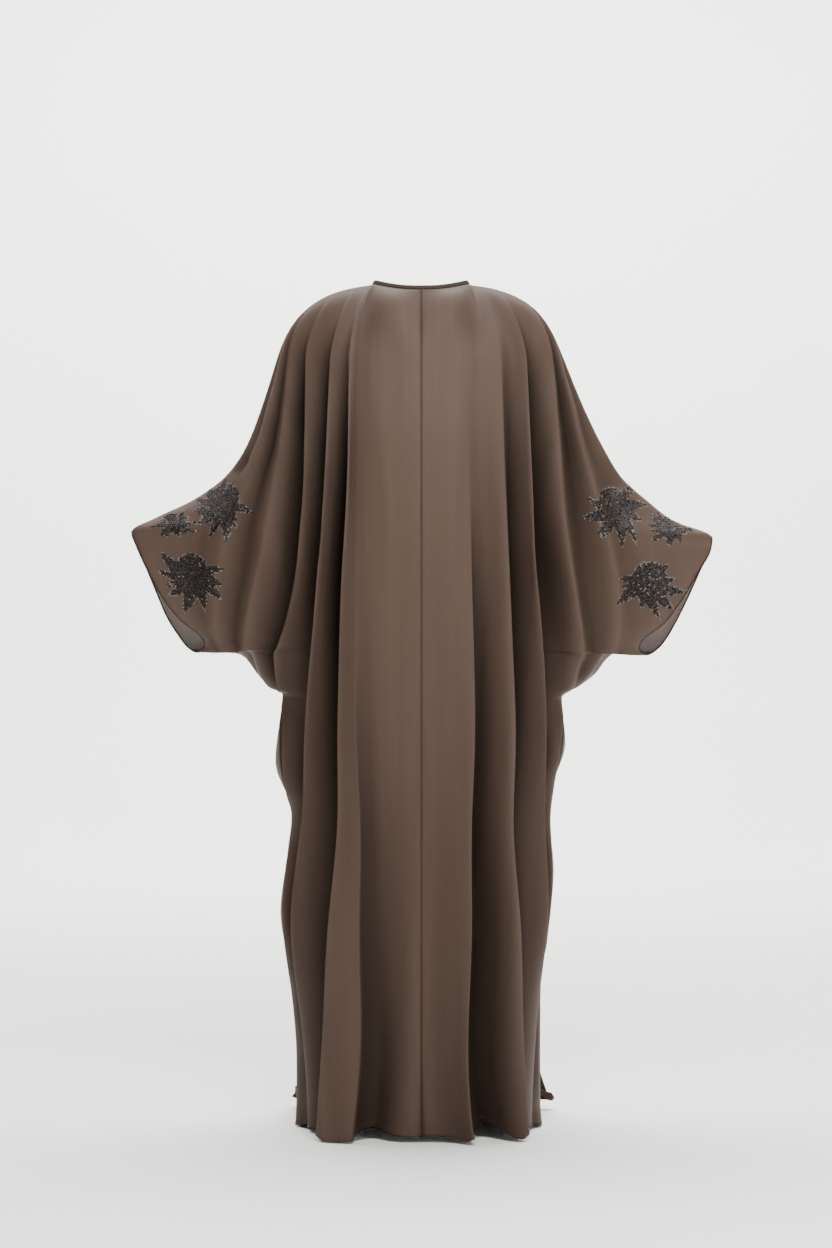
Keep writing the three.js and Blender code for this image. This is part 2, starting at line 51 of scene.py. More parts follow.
SHOULDER_TIP = dict(reach=172.0, height=1415.0)
SHOULDER_STRAIGHT = 0.55  # how straight the shoulder line falls, 1 is wholly
TIP_TURN = 0.45  # where along the shoulder line the cloth begins to turn down over its end
CAP_FLOW = dict(neck=0.2, shoulder=0.36, chest=0.4, spread=0.3)  # how roundly it goes over the shoulder
SMALL = 0.002  # a small part of a section or line, to tell its direction
WING_START = 0.6  # share where the sleeve part begins
OPEN_SPREAD = 1.35  # how the sleeve part spreads where it stands open, 1 is evenly
DROP_START = 0.45  # share where a section begins to sink or rise to its outer height
CUFF_GAP = dict(back=34.0, front=44.0)  # how far an open cuff stands out from the shoulder plane
# How much of that the sleeve stands out at each height, fading out above and below its opening.
STAND_HEIGHTS = [1060, 1018, 968, 926, 884, 850, 803, 750, 700]
STAND_SHARES = [0, 0.3, 0.85, 1, 0.9, 0.72, 0.42, 0.15, 0]
# Inside the outer edge the reach is evened out up and down. It is exact beyond the share.
REACH_EVEN = dict(spread=36.0, step=5.0, steps=24, lowest=-160.0, highest=1480.0, share=0.72, over=0.22)

# The folds: how far up and down their lines are evened out, from where a crest counts as hanging over its
# trough, how far that trough is drawn in under it, how much deeper than its table says, and how crisp the
# crest is.
LINE_SOFT = 45.0
LINE_GAP = dict(least=0.006, last=0.004)  # least shares between two fold lines
HANGS_OVER = 0.5
TROUGH_SHIFT = 0.45
TROUGH_FROM = -8.0
TROUGH_DEEPER = 1.05
CREST_CRISP = 0.5
FULL_HANG = 14.0  # depth from which a flank hangs over in full
FLANK = dict(percentile=80, least=5, most=60)  # columns in a flank, from its width in most of the rows

# The hem: it lifts where the cloth lies behind its proudest fold, is rounded up over the crests, and the
# front's outer folds curl in.
HEM_LIFT = dict(share=0.45, height=160.0, side=0.2)
CORNER = dict(proud=6.0, up=9.0, wide=9.0, height=30.0)
HEM_CURL = dict(share=0.68, wide=0.15, inwards=11.0, up=16.0, height=46.0)

# The cuffs: how open a row is from which it counts as part of the edge, as open, and as stitched; the rolled
# edge's radius, its distance beyond the cloth, and the distance of the stitches from it.
CUFF = dict(edge=0.004, closed=0.01, stitched=0.02, radius=1.4, beyond=0.8, stitches=5.0)
NECK_BAND = dict(width=8.0, half=1.15, above=0.2, lean=0.55, sides=16, stitches=2.2, row_out=1.2)
LOOP_GAP = 3.0  # between the points round a cuff or the neck

# Relief of the sewing: the centre seam's tuck and pucker, and the turned hem with the dip of its stitches.
CLOTH = 0.7  # thickness of the cloth as it shows
SEAM = dict(deep=1.0, wide=2.2, pucker=0.35, beside=5.0, waves=(3.1, 5.3, 8.9), seeds=50)
HEM = dict(stitches=10.0, proud=0.5, edge=1.0, slope=2.0, dip=0.5, wide=1.3)
RELIEF_FADE = dict(side=6.0, top=8.0)  # over which the relief fades at the outer edge and below the top
CREASE_FADE = 0.3  # share of a crease over which each of its ends fades

# Low ripples down the cloth: each has its place round the panel and its height, drift, length and width.
RIPPLE = dict(count=26, girth=(20, 420), drift=0.10, height=(60, 1350), length=(120, 420), width=(7, 20),
              out=(0.3, 1.0), wander=6.0, wave=(90, 200))

# Shading painted into the cloth's colour: darker in a fold, behind the proudest fold, along the seam, towards
# the hem and inside, and lighter on a crest. Openness looks from near to far at the next points of a row, and
# fades over the last half. Where there is nothing to see on one side, the other side counts for both.
FOLD_DARK = 0.05
FOLD_POWER = 1.1
OPEN_DARK = 0.25
CREST_LIGHT = 1.5
LOOK = dict(near=2.5, far=42.0, fade=21.0, points=60, nothing=-1.0, least=-0.5)
HOLLOW = dict(dark=0.34, begins=8.0, over=30.0)
SHOULDER_SHADE = 0.86
SEAM_DARK = 0.35
SEAM_WIDE = 1.6
HEM_DARK = 0.93
INSIDE_SHADE = 0.5
# Painted light: near the cuffs the inside of the cloth is painted lighter, as light coming through the thin
# cloth would make it.
CUFF_INSIDE = dict(shade=2.2, share=0.72, over=0.2, opening=3.0)
# How much the thin cloth lets through near the front's cuffs.
VEIL = dict(most=0.155, share=0.78, over=0.1, opening=2.0)

# The form under the cloth: half its width and its depth, at the back and at the front, how square it is, how
# thin the sleeve part is beside it, and how far forward the sleeve part lies.
FORM_COLUMNS = ("height", "back_half", "back", "front_half", "front", "square", "thin", "forward")
FORM = np.array([
    (1310, 198, 112, 198, 108, 2.2, 0.9, 0),
    (1165, 210, 136, 210, 142, 2.3, 0.85, 4),
    (1015, 215, 146, 215, 154, 2.4, 0.8, 14),
    (845, 218, 150, 218, 154, 2.5, 0.72, 14),
    (665, 222, 152, 222, 152, 2.5, 1, 4),
    (530, 211, 154, 211, 154, 2.5, 1, 0),
    (345, 222, 160, 220, 158, 2.6, 1, 8),
    (180, 202, 168, 206, 154, 3, 1, 26),
    (50, 190, 176, 210, 152, 4, 1, 46),
    (0, 186, 180, 230, 158, 4.8, 1, 54),
], float)


def outline(*rows):
    """One side's table. A row of three numbers is closed: its cuff stands open by nothing."""
    return np.array([(*row, 0, 0)[:5] for row in rows], float)


# Height at the body, height and reach at the outer edge, how far the cuff stands open, and how much further
# in its back ends.
SECTION_COLUMNS = ("inner", "outer", "reach", "open", "short")
SECTIONS = dict(
    left=outline(
        (1296, 1312, 248), (1228, 1236, 272), (1166, 1160, 302), (1116, 1112, 336), (1081, 1070, 394),
        (1048, 1040, 458), (1018, 1016, 499), (998, 990, 490, 0.5, 2), (968, 957, 478, 0.85, 6),
        (926, 914, 461, 1, 12), (884, 868, 441, 0.95, 26), (850, 832, 417, 0.75, 44),
        (836, 817, 404, 0.45, 32), (824, 808, 386), (802, 814, 344), (782, 803, 308), (762, 770, 281),
        (738, 749, 260), (710, 737, 236), (618, 622, 250), (528, 528, 220), (440, 440, 233),
        (362, 362, 242), (290, 290, 232), (215, 215, 220), (110, 110, 212), (38, 38, 212), (0, 0, 214),
    ),
    right=outline(
        (1296, 1312, 246), (1228, 1236, 277), (1166, 1160, 314), (1116, 1110, 345), (1081, 1071, 388),
        (1046, 1036, 434), (1012, 1006, 502), (992, 984, 499, 0.5, 2), (962, 950, 485, 0.85, 8),
        (920, 904, 465, 1, 16), (880, 860, 443, 0.95, 26), (848, 828, 423, 0.75, 46),
        (834, 812, 407, 0.45, 32), (820, 803, 386), (803, 813, 348), (783, 799, 322), (761, 772, 301),
        (738, 750, 272), (712, 731, 240), (652, 654, 248), (585, 585, 228), (520, 520, 221),
        (430, 430, 228), (318, 318, 216), (240, 240, 205), (100, 100, 203), (36, 36, 203), (0, 0, 206),
    ),
)

# The crest and trough lines of the folds, from the centre outwards, at each of FOLD_HEIGHTS: place in the
# section, how far out, and how far the crest hangs over its trough as a share of the flank's width.
FOLD_HEIGHTS = [1296, 1100, 1010, 930, 700, 350, 0]
CENTRE_SEAM = dict(back=[0, 0, 0, 0, -2, -6, -10], front=[0, 0, 0, 0, 0, -4, -8])
FOLDS = dict(
    back_left=[
        ([0.31, 0.265, 0.25, 0.237, 0.211, 0.171, 0.08], [0, 0, 0, 0, -5, -18, -34], -0.3),
        ([0.35, 0.31, 0.3, 0.29, 0.275, 0.245, 0.21], [0, 1, 2, 3, 4, 4, 2], 0),
        ([0.385, 0.34, 0.345, 0.355, 0.36, 0.41, 0.56], [3, 9, 10, 11, 12, 14, 10], 0.5),
        ([0.45, 0.42, 0.42, 0.43, 0.44, 0.49, 0.64], [-3, -12, -19, -26, -28, -30, -28], 0),
        ([0.53, 0.483, 0.502, 0.517, 0.602, 0.771, 0.8], [4, 11, 12, 13, 11, 6, -6], 0.7),
        ([0.59, 0.545, 0.565, 0.585, 0.68, 0.84, 0.87], [-6, -30, -33, -35, -28, -12, -12], 0),
        ([0.72, 0.65, 0.65, 0.66, 0.86, 0.92, 0.92], [4, 11, 11, 11, 4, 2, 4], 0.6),
        ([0.77, 0.7, 0.69, 0.705, 0.91, 0.95, 0.95], [-4, -20, -20, -20, -6, -2, -2], 0),
        ([0.825, 0.75, 0.73, 0.775, 0.945, 0.965, 0.965], [3, 7, 7, 7, 1, 0, 0], 0),
        ([0.865, 0.79, 0.765, 0.82, 0.96, 0.975, 0.975], [-2, -6, -6, -6, 0, 0, 0], 0),
        ([0.905, 0.832, 0.8, 0.88, 0.975, 0.985, 0.985], [3, 8, 8, 6, 0, 0, 0], 0),
        ([0.945, 0.885, 0.85, 0.93, 0.985, 0.99, 0.99], [-2, -5, -5, -3, 0, 0, 0], 0),
    ],
    back_right=[
        ([0.2, 0.2, 0.2, 0.2, 0.205, 0.178, 0.1], [0, 0, 1, 2, 8, 13, 14], 0.5),
        ([0.29, 0.285, 0.28, 0.275, 0.28, 0.26, 0.2], [0, -2, -4, -6, -14, -32, -42], 0),
        ([0.44, 0.4, 0.402, 0.406, 0.424, 0.451, 0.575], [3, 9, 10, 11, 12, 13, 13], 0.25),
        ([0.51, 0.48, 0.485, 0.49, 0.51, 0.53, 0.65], [-3, -14, -18, -22, -24, -18, -10], 0),
        ([0.66, 0.605, 0.612, 0.624, 0.688, 0.8, 0.8], [4, 12, 12, 13, 10, 4, -6], 0.7),
        ([0.71, 0.66, 0.665, 0.68, 0.77, 0.87, 0.86], [-6, -34, -36, -34, -20, -10, -10], 0),
        ([0.82, 0.73, 0.71, 0.738, 0.88, 0.93, 0.92], [4, 9, 9, 9, 3, 1, 3], 0.15),
        ([0.86, 0.77, 0.745, 0.775, 0.92, 0.95, 0.95], [-3, -9, -10, -9, -3, -1, -1], 0),
        ([0.9, 0.815, 0.785, 0.85, 0.955, 0.97, 0.97], [4, 9, 9, 7, 1, 0, 0], 0.15),
        ([0.94, 0.87, 0.84, 0.91, 0.975, 0.985, 0.985], [-3, -7, -6, -4, 0, 0, 0], 0),
    ],
    front_left=[
        ([0.2, 0.2, 0.2, 0.2, 0.19, 0.16, 0.14], [0, 4, 5, 6, 9, 12, 12], 0.3),
        ([0.29, 0.28, 0.28, 0.28, 0.27, 0.26, 0.25], [0, -4, -6, -8, -14, -22, -26], 0),
        ([0.4, 0.39, 0.39, 0.39, 0.38, 0.37, 0.37], [2, 8, 10, 11, 13, 14, 12], 0.4),
        ([0.5, 0.49, 0.49, 0.49, 0.48, 0.47, 0.48], [-2, -14, -18, -22, -27, -28, -24], 0),
        ([0.6, 0.6, 0.6, 0.61, 0.64, 0.62, 0.6], [4, 11, 12, 12, 13, 14, 24], 0.6),
        ([0.66, 0.66, 0.66, 0.67, 0.72, 0.75, 0.78], [-5, -24, -26, -26, -26, -16, -4], 0),
        ([0.78, 0.76, 0.74, 0.77, 0.88, 0.91, 0.91], [3, 8, 8, 7, 3, 2, 4], 0),
        ([0.86, 0.85, 0.83, 0.87, 0.94, 0.96, 0.96], [-2, -5, -5, -4, -2, -2, -2], 0),
    ],
    front_right=[
        ([0.16, 0.16, 0.16, 0.17, 0.17, 0.17, 0.16], [0, 3, 4, 5, 8, 11, 12], 0.3),
        ([0.25, 0.25, 0.25, 0.26, 0.26, 0.27, 0.27], [0, -4, -5, -7, -12, -22, -28], 0),
        ([0.37, 0.37, 0.37, 0.38, 0.38, 0.38, 0.38], [2, 8, 9, 10, 12, 14, 12], 0.4),
        ([0.47, 0.47, 0.47, 0.48, 0.48, 0.49, 0.5], [-2, -14, -17, -20, -26, -28, -22], 0),
        ([0.58, 0.59, 0.59, 0.6, 0.64, 0.63, 0.62], [4, 12, 12, 12, 13, 13, 22], 0.6),
        ([0.65, 0.65, 0.65, 0.66, 0.72, 0.76, 0.79], [-5, -26, -27, -27, -26, -14, -4], 0),
        ([0.76, 0.75, 0.73, 0.76, 0.87, 0.91, 0.91], [3, 8, 8, 7, 3, 2, 4], 0),
        ([0.85, 0.84, 0.82, 0.86, 0.94, 0.96, 0.96], [-2, -5, -5, -4, -2, -2, -2], 0),
    ],
)


def mix(a, b, t):
    """The place between a and b."""
    return a + (b - a) * t


def ease(t):
    """A soft step from 0 to 1."""
    t = np.clip(t, 0.0, 1.0)
    return t * t * (3 - 2 * t)


def bell(t):
    """1 at t = 0, fading on both sides."""
    return np.exp(-t ** 2)


def unit(ways):
    """Ways, each made one long."""
    return ways / np.maximum(np.linalg.norm(ways, axis=-1, keepdims=True), 1e-9)


def steps_along(points, axis=0):
    """The distances between neighbours in a line or grid of points."""
    return np.linalg.norm(np.diff(points, axis=axis), axis=-1)


def distances_along(points, axis=0):
    """How far along a line, or along the lines of a grid, each point lies."""
    return np.insert(np.cumsum(steps_along(points, axis), axis=axis), 0, 0, axis=axis)


def softening(gap, spread, reach):
    """The weights that even out a row of values over a spread."""
    weight = np.exp(-(np.arange(-reach, reach + 1) * gap / spread) ** 2 / 2)
    return weight / weight.sum()


def softened(values):
    """Values round a closed loop, evened out between neighbours."""
    return (np.roll(values, 1, 0) + 2 * values + np.roll(values, -1, 0)) / 4


def track(knots, values, x):
    """A smooth curve through knots, with no overshoot."""
    knots, values, x = np.asarray(knots, float), np.asarray(values, float), np.asarray(x, float)
    if knots[0] > knots[-1]:
        knots, x = -knots, -x
    slope = np.diff(values) / np.diff(knots)
    tangent = np.empty_like(values)
    tangent[0], tangent[-1] = slope[0], slope[-1]
    same = slope[:-1] * slope[1:] > 0
    total = np.where(same, slope[:-1] + slope[1:], 1.0)
    tangent[1:-1] = np.where(same, 2 * slope[:-1] * slope[1:] / total, 0.0)
    k = np.clip(np.searchsorted(knots, x) - 1, 0, len(knots) - 2)
    width = knots[k + 1] - knots[k]
    t = np.clip((x - knots[k]) / width, 0.0, 1.0)
    rest = 1 - t
    return (values[k] * rest ** 2 * (1 + 2 * t) + values[k + 1] * t ** 2 * (3 - 2 * t)
            + width * t * rest * (tangent[k] * rest - tangent[k + 1] * t))


def evened_reach(rows, inner):
    """The reach of a side's sections, evened out up and down."""
    weight = softening(REACH_EVEN["step"], REACH_EVEN["spread"], REACH_EVEN["steps"])
    heights = np.arange(REACH_EVEN["lowest"], REACH_EVEN["highest"], REACH_EVEN["step"])
    exact = track(rows[:, 0], rows[:, 2], np.clip(heights, 0, CHEST))
    return np.interp(inner, heights, np.convolve(exact, weight, "same"))


def sections_at(side, face, inner):
    """Everything that the base curves need, as one column of numbers for each row."""
    rows = SECTIONS[side]
    found = {}
    for i, name in enumerate(SECTION_COLUMNS):
        found[name] = track(rows[:, 0], rows[:, i], inner)[:, None]
    for i, name in enumerate(FORM_COLUMNS[1:], 1):
        found[name] = track(FORM[:, 0], FORM[:, i], inner)[:, None]
    found["half"], found["depth"] = found[face + "_half"], found[face]
    found["open"] = np.maximum(found["open"], 0)
    if face == "front":
        found["short"] = found["short"] * 0
    found["reach_inside"] = evened_reach(rows, inner)[:, None]
    found["gap"] = CUFF_GAP[face]
    at = np.clip(inner, STAND_HEIGHTS[-1], STAND_HEIGHTS[0])
    found["stand"] = np.maximum(track(STAND_HEIGHTS, STAND_SHARES, at)[:, None], 0)
    return found


def sleeve_share(share, stands_open):
    """How far out along the sleeve part a share lies."""
    t = np.clip((share - WING_START) / (1 - WING_START), 0, 1)
    return mix(ease(t), t ** OPEN_SPREAD, stands_open)


def base_point(section, share):
    """A point of a section without its folds: x outwards and y outwards."""
    angle = share * np.pi / 2
    power = 2 / section["square"]
    out = sleeve_share(share, section["stand"])
    exact = ease((share - REACH_EVEN["share"]) / REACH_EVEN["over"])
    reach = mix(section["reach_inside"], section["reach"], exact)
    reach = reach - section["half"] - section["short"]
    flat = mix(1, section["thin"], out)
    x = section["half"] * np.sin(angle) ** power + out * reach
    below = np.maximum(section["stand"] - section["open"], 0) * out * (1 - out ** 5)
    stands = section["open"] * out + below
    y = section["depth"] * np.maximum(0, np.cos(angle)) ** power * flat + section["gap"] * stands
    return x, y


def bare_normal(section, share):
    """The way out of a section's base curve."""
    share = np.clip(share, 0, 1)
    x0, y0 = base_point(section, np.maximum(0, share - SMALL))
    x1, y1 = base_point(section, np.minimum(1, share + SMALL))
    return np.stack([y0 - y1, x1 - x0], 2) / np.hypot(x1 - x0, y1 - y0)[:, :, None]


def folded_point(section, share, offset):
    """A point of a section, set out from its base curve."""
    x, y = base_point(section, np.clip(share, 0, 1))
    out = bare_normal(section, share)
    return x + out[:, :, 0] * offset, y + out[:, :, 1] * offset


def straightened(shares, section, inner):
    """The fold lines with their small sideways wanderings taken out."""
    fine = np.linspace(0, 1, 500)[None, :]
    x = base_point(section, fine)[0]
    gap = abs(inner[1] - inner[0])
    reach = int(3 * LINE_SOFT / gap)
    weight = softening(gap, LINE_SOFT, reach)
    lines = [shares[0]]
    for share in shares[1:-1]:
        along = np.array([np.interp(s, fine[0], row) for s, row in zip(share, x)])
        before = 2 * along[0] - along[reach:0:-1]
        after = 2 * along[-1] - along[-2:-reach - 2:-1]
        padded = np.concatenate([before, along, after])
        soft = np.convolve(padded, weight, "valid")
        new = np.array([np.interp(value, row, fine[0]) for value, row in zip(soft, x)])
        new = np.minimum(new, mix(share, 1, 0.5))
        lines.append(np.maximum(new, lines[-1] + LINE_GAP["least"]))
    lines.append(shares[-1])
    for k in range(len(lines) - 2, 0, -1):
        lines[k] = np.minimum(lines[k], lines[k + 1] - LINE_GAP["last"])
    return lines


def columns_of(key, section, inner, spacing):
    """Share, lapped share and offset of each grid point, with steep and overhanging flanks."""
    face = key.split("_")[0]
    shares = [np.zeros_like(inner)] + [track(FOLD_HEIGHTS, s, inner) for s, _, _ in FOLDS[key]]
    outs = [track(FOLD_HEIGHTS, CENTRE_SEAM[face], inner)]
    outs += [track(FOLD_HEIGHTS, o, inner) for _, o, _ in FOLDS[key]]
    hangs = [0.0] + [h for _, _, h in FOLDS[key]]
    shares.append(np.ones_like(inner))
    outs.append(np.zeros_like(inner))
    shares = straightened(shares, section, inner)
    for k, hang in enumerate(hangs):
        if hang >= HANGS_OVER:
            shares[k + 1] = mix(shares[k + 1], shares[k], TROUGH_SHIFT)
    outs = [np.where(out < TROUGH_FROM, mix(TROUGH_FROM, out, TROUGH_DEEPER), out) for out in outs]
    share, lapped, offset = [shares[0][:, None]], [shares[0][:, None]], [outs[0][:, None]]
    for k, hang in enumerate(hangs):
        a, b = shares[k][:, None], shares[k + 1][:, None]
        xa, ya = base_point(section, a)
        xb, yb = base_point(section, b)
        width = np.hypot(xb - xa, yb - ya)
        depth = np.abs(outs[k + 1] - outs[k])[:, None]
        wide = float(np.percentile(np.hypot(width, depth), FLANK["percentile"]))
        steps = int(np.clip(round(wide / spacing), FLANK["least"], FLANK["most"]))
        t = (1 - np.cos(np.pi * np.arange(1, steps + 1) / steps))[None, :] / 2
        here = mix(a, b, t)
        deep = ease(depth / FULL_HANG)
        swing = abs(hang) * deep * (b - a) * (np.sin(np.pi * t) ** 2)
        share.append(here)
        lapped.append(here - swing if hang > 0 else here + swing)
        falling = outs[k + 1].mean() < outs[k].mean()
        crisp = np.sin(t * np.pi / 2) if falling else 1 - np.cos(t * np.pi / 2)
        sharp = hang if falling else (hangs[k + 1] if k + 1 < len(hangs) else 0)
        drop = mix(ease(t), crisp, CREST_CRISP * deep * (sharp >= HANGS_OVER))
        offset.append(mix(outs[k][:, None], outs[k + 1][:, None], drop))
    return np.hstack(share), np.hstack(lapped), np.hstack(offset)


def top_points(share, face, neck_share):
    """Points on the neckline and shoulder line, and the ways in which the cloth leaves them."""
    neck = NECK[face]
    side = np.sin(np.clip(share / neck_share, 0, 1) * np.pi / 2)
    forth = np.cos(np.clip(share / neck_share, 0, 1) * np.pi / 2)
    sideways, out, down = NECK_LEAVING
    height = mix(neck["height"], LENGTH, side ** NECK_CLIMB)
    at = np.stack([NECK_HALF * side, neck["depth"] * forth, height], 1)
    leaving = np.stack([sideways * side * (1 - side), mix(out, 1, side), down * (1 - side)], 1)
    t = np.clip((share - neck_share) / (1 - neck_share), 0, 1)

    def line(s):
        fall = mix(s ** 3, s, SHOULDER_STRAIGHT)
        height = mix(LENGTH, SHOULDER_TIP["height"], fall)
        return np.stack([mix(NECK_HALF, SHOULDER_TIP["reach"], s), 0 * s, height], 1)

    along = unit(line(t + SMALL) - line(t - SMALL))
    turn = (ease((t - TIP_TURN) / (1 - TIP_TURN)) * np.pi / 2)[:, None]
    over = np.array([[0, 1, 0]]) * np.cos(turn) + along * np.sin(turn)
    on_neck = (share < neck_share)[:, None]
    at = np.where(on_neck, at, line(t))
    return at, unit(np.where(on_neck, leaving, over))


def rounded_corners(x, y, offset):
    """How far the hem is lifted at each of its points, most where it passes over the crest of a fold."""
    lift = np.zeros_like(x)
    for j in range(1, len(offset) - 1):
        if offset[j] > CORNER["proud"] and offset[j - 1] <= offset[j] > offset[j + 1]:
            far = np.hypot(x - x[j], y - y[j])
            lift = np.maximum(lift, CORNER["up"] * bell(far / CORNER["wide"]))
    return lift[None, :]


def panel_grid(key, row_gap, spacing, shoulder_rows):
    """Points of a panel, rows from the top edge to the hem: x outwards, y outwards, z the height."""
    face, side = key.split("_")
    inner = np.linspace(CHEST, 0, int(round(CHEST / row_gap)) + 1)
    section = sections_at(side, face, inner)
    share, lapped, offset = columns_of(key, section, inner, spacing)
    x, y = folded_point(section, lapped, offset)
    bare = bare_normal(section, lapped)
    drop = ease((share - DROP_START) / (1 - DROP_START))
    height = mix(section["inner"], section["outer"], drop)
    proudest = max(out[-1] for _, out, _ in FOLDS[key])
    near = ease(1 - section["inner"] / HEM_LIFT["height"]) * ease((1 - share) / HEM_LIFT["side"])
    height = height + HEM_LIFT["share"] * (proudest - offset) * near
    low = ease(1 - section["inner"] / CORNER["height"])
    height = height + rounded_corners(x[-1], y[-1], offset[-1]) * low
    forward = section["forward"] * sleeve_share(share, 0)
    rows = np.stack([x, y, height], 2)
    hollow = offset.max(axis=1, keepdims=True) - offset
    chest = rows[0]
    neck_column = int(np.argmin(np.abs(share[0] - NECK_SHARE)))
    neck_share = share[0][neck_column]
    at, leaving = top_points(share[0], face, neck_share)
    gap = np.linalg.norm(at - chest, axis=1)[:, None]
    up = unit(chest - rows[2])
    beside = ease(np.abs(share[0] - neck_share) / CAP_FLOW["spread"])[:, None]
    p1 = at + leaving * gap * mix(CAP_FLOW["neck"], CAP_FLOW["shoulder"], beside)
    p2 = chest + up * gap * CAP_FLOW["chest"]
    t = (np.arange(shoulder_rows) / shoulder_rows)[:, None, None]
    rest = 1 - t
    over = at * rest ** 3 + 3 * p1 * rest ** 2 * t + 3 * p2 * rest * t ** 2 + chest * t ** 3
    points = np.concatenate([over, rows])
    forward = np.concatenate([np.repeat(forward[:1], shoulder_rows, 0) * t[:, :, 0], forward])

    def topped(rows):
        return np.concatenate([np.repeat(rows[:1], shoulder_rows, 0), rows])

    opened = np.concatenate([np.zeros(shoulder_rows), section["open"][:, 0]])
    return dict(points=points, forward=forward, share=topped(share), bare=topped(bare), hollow=topped(hollow),
                opened=opened, neck_column=neck_column, mirror=-1 if side == "left" else 1,
                facing=-1 if face == "back" else 1)


def normals_of(points, sign):
    """The ways out of a grid of points."""
    return unit(np.cross(np.gradient(points, axis=1), np.gradient(points, axis=0)) * sign)


# Creases, listed one by one: points as (x outwards, height), how far they stand out, half width, how round.
CREASES = dict(
    back_left=[
        ([(412, 1067), (402, 1034), (398, 1000), (398, 960)], 2.2, 9, 4),
        ([(482, 1014), (452, 992), (425, 990), (404, 1000)], 1.8, 12, 4),
        ([(330, 1112), (308, 1126), (292, 1148)], -4.0, 10, 3),
        ([(250, 842), (254, 826), (254, 812), (264, 796), (282, 784)], 4.5, 12, 4),
        ([(262, 834), (268, 820), (284, 806), (306, 800)], -3.5, 11, 4),
        ([(372, 846), (358, 858), (344, 873)], 2.0, 8, 2),
        ([(326, 856), (314, 832), (300, 806)], 2.4, 9, 2),
        ([(377, 812), (354, 818), (328, 818), (301, 806)], 3.0, 9, 3),
        ([(470, 1000), (440, 960), (418, 920)], -1.8, 16, 5),
        ([(455, 930), (425, 900), (400, 850)], 1.6, 18, 6),
    ],
    back_right=[
        ([(402, 1060), (386, 1046), (374, 1030), (366, 990)], 2.2, 9, 4),
        ([(388, 1004), (424, 985), (461, 992), (490, 1012)], 2.0, 13, 4),
        ([(352, 1098), (330, 1094), (314, 1104)], -3.0, 12, 3),
        ([(262, 748), (280, 780), (300, 812), (322, 838)], -3.0, 14, 4),
        ([(304, 826), (322, 819), (348, 816)], 2.5, 9, 4),
        ([(306, 808), (330, 806), (352, 814)], -2.0, 9, 4),
        ([(262, 790), (284, 812), (304, 846)], 3.0, 14, 4),
        ([(478, 990), (446, 950), (424, 900)], -1.8, 16, 5),
        ([(462, 940), (432, 900), (410, 846)], 1.6, 18, 6),
    ],
    front_left=[
        ([(406, 1060), (398, 1030), (390, 1000), (372, 975)], 4.0, 10, 2),
        ([(480, 1010), (450, 985), (415, 980), (385, 990)], 3.5, 12, 3),
        ([(330, 1110), (300, 1080), (282, 1030)], -3.5, 12, 3),
        ([(255, 840), (272, 815), (300, 802)], 5.0, 11, 3),
        ([(330, 860), (318, 832), (306, 806)], 2.4, 9, 2),
        ([(450, 930), (420, 890), (396, 846)], 1.6, 18, 6),
    ],
    front_right=[
        ([(392, 1058), (380, 1034), (366, 1008)], 4.0, 10, 2),
        ([(480, 1008), (446, 980), (410, 978), (380, 990)], 3.5, 12, 3),
        ([(340, 1100), (312, 1070), (296, 1020)], -3.5, 12, 3),
        ([(262, 800), (290, 822), (330, 822)], 5.0, 10, 3),
        ([(356, 868), (340, 842), (330, 816)], 2.4, 9, 2),
        ([(452, 930), (424, 890), (402, 846)], 1.6, 18, 6),
    ],
)


def crease_field(points, creases):
    """How far out each point moves for the creases near it."""
    x, z = points[:, :, 0], points[:, :, 2]
    total = np.zeros_like(x)
    for line, out, width, round_ in creases:
        line = np.array(line, float)
        part = steps_along(line)
        before = distances_along(line)
        near = np.full_like(x, 1e9)
        along = np.zeros_like(x)
        for k in range(len(part)):
            dx, dz = (line[k + 1] - line[k]) / part[k]
            t = np.clip((x - line[k, 0]) * dx + (z - line[k, 1]) * dz, 0, part[k])
            far = np.hypot(x - line[k, 0] - t * dx, z - line[k, 1] - t * dz)
            closer = far < near
            near = np.where(closer, far, near)
            along = np.where(closer, (before[k] + t) / before[-1], along)
        fade = ease(along / CREASE_FADE) * ease((1 - along) / CREASE_FADE)
        total += out * fade * np.exp(-(np.sqrt(near ** 2 + round_ ** 2) - round_) / width)
    return total


def ripple_field(points, girth, seed):
    """Low soft ripples that run down the cloth, uneven in length and spacing."""
    rng = np.random.default_rng(seed)
    z = points[:, :, 2]
    total = np.zeros_like(z)
    for _ in range(RIPPLE["count"]):
        centre = rng.uniform(*RIPPLE["girth"])
        drift = rng.uniform(-RIPPLE["drift"], RIPPLE["drift"])
        middle = rng.uniform(*RIPPLE["height"])
        length = rng.uniform(*RIPPLE["length"])
        width = rng.uniform(*RIPPLE["width"])
        out = rng.uniform(*RIPPLE["out"]) * rng.choice([-1, 1])
        wander = RIPPLE["wander"] * np.sin(z / rng.uniform(*RIPPLE["wave"]) + rng.uniform(0, 6))
        d = girth - centre - drift * (z - middle) - wander
        total += out * bell(d / width) * bell((z - middle) / length)
    return total


def seam_tuck(points, girth, seed):
    """The centre seam pulls the cloth in and puckers it slightly."""
    rng = np.random.default_rng(seed)
    z = points[:, :, 2]
    pucker = sum(np.sin(z / wave + rng.uniform(0, 6)) for wave in SEAM["waves"]) / len(SEAM["waves"])
    beside = bell((girth - SEAM["beside"]) / SEAM["beside"])
    return SEAM["pucker"] * pucker * beside - SEAM["deep"] * bell(girth / SEAM["wide"])


def hem_fold(above):
    """The turned hem is a little proud of the cloth, with a dip along its row of stitches."""
    turned = HEM["proud"] * ease((HEM["stitches"] + HEM["edge"] - above) / HEM["slope"])
    return turned - HEM["dip"] * bell((above - HEM["stitches"]) / HEM["wide"])


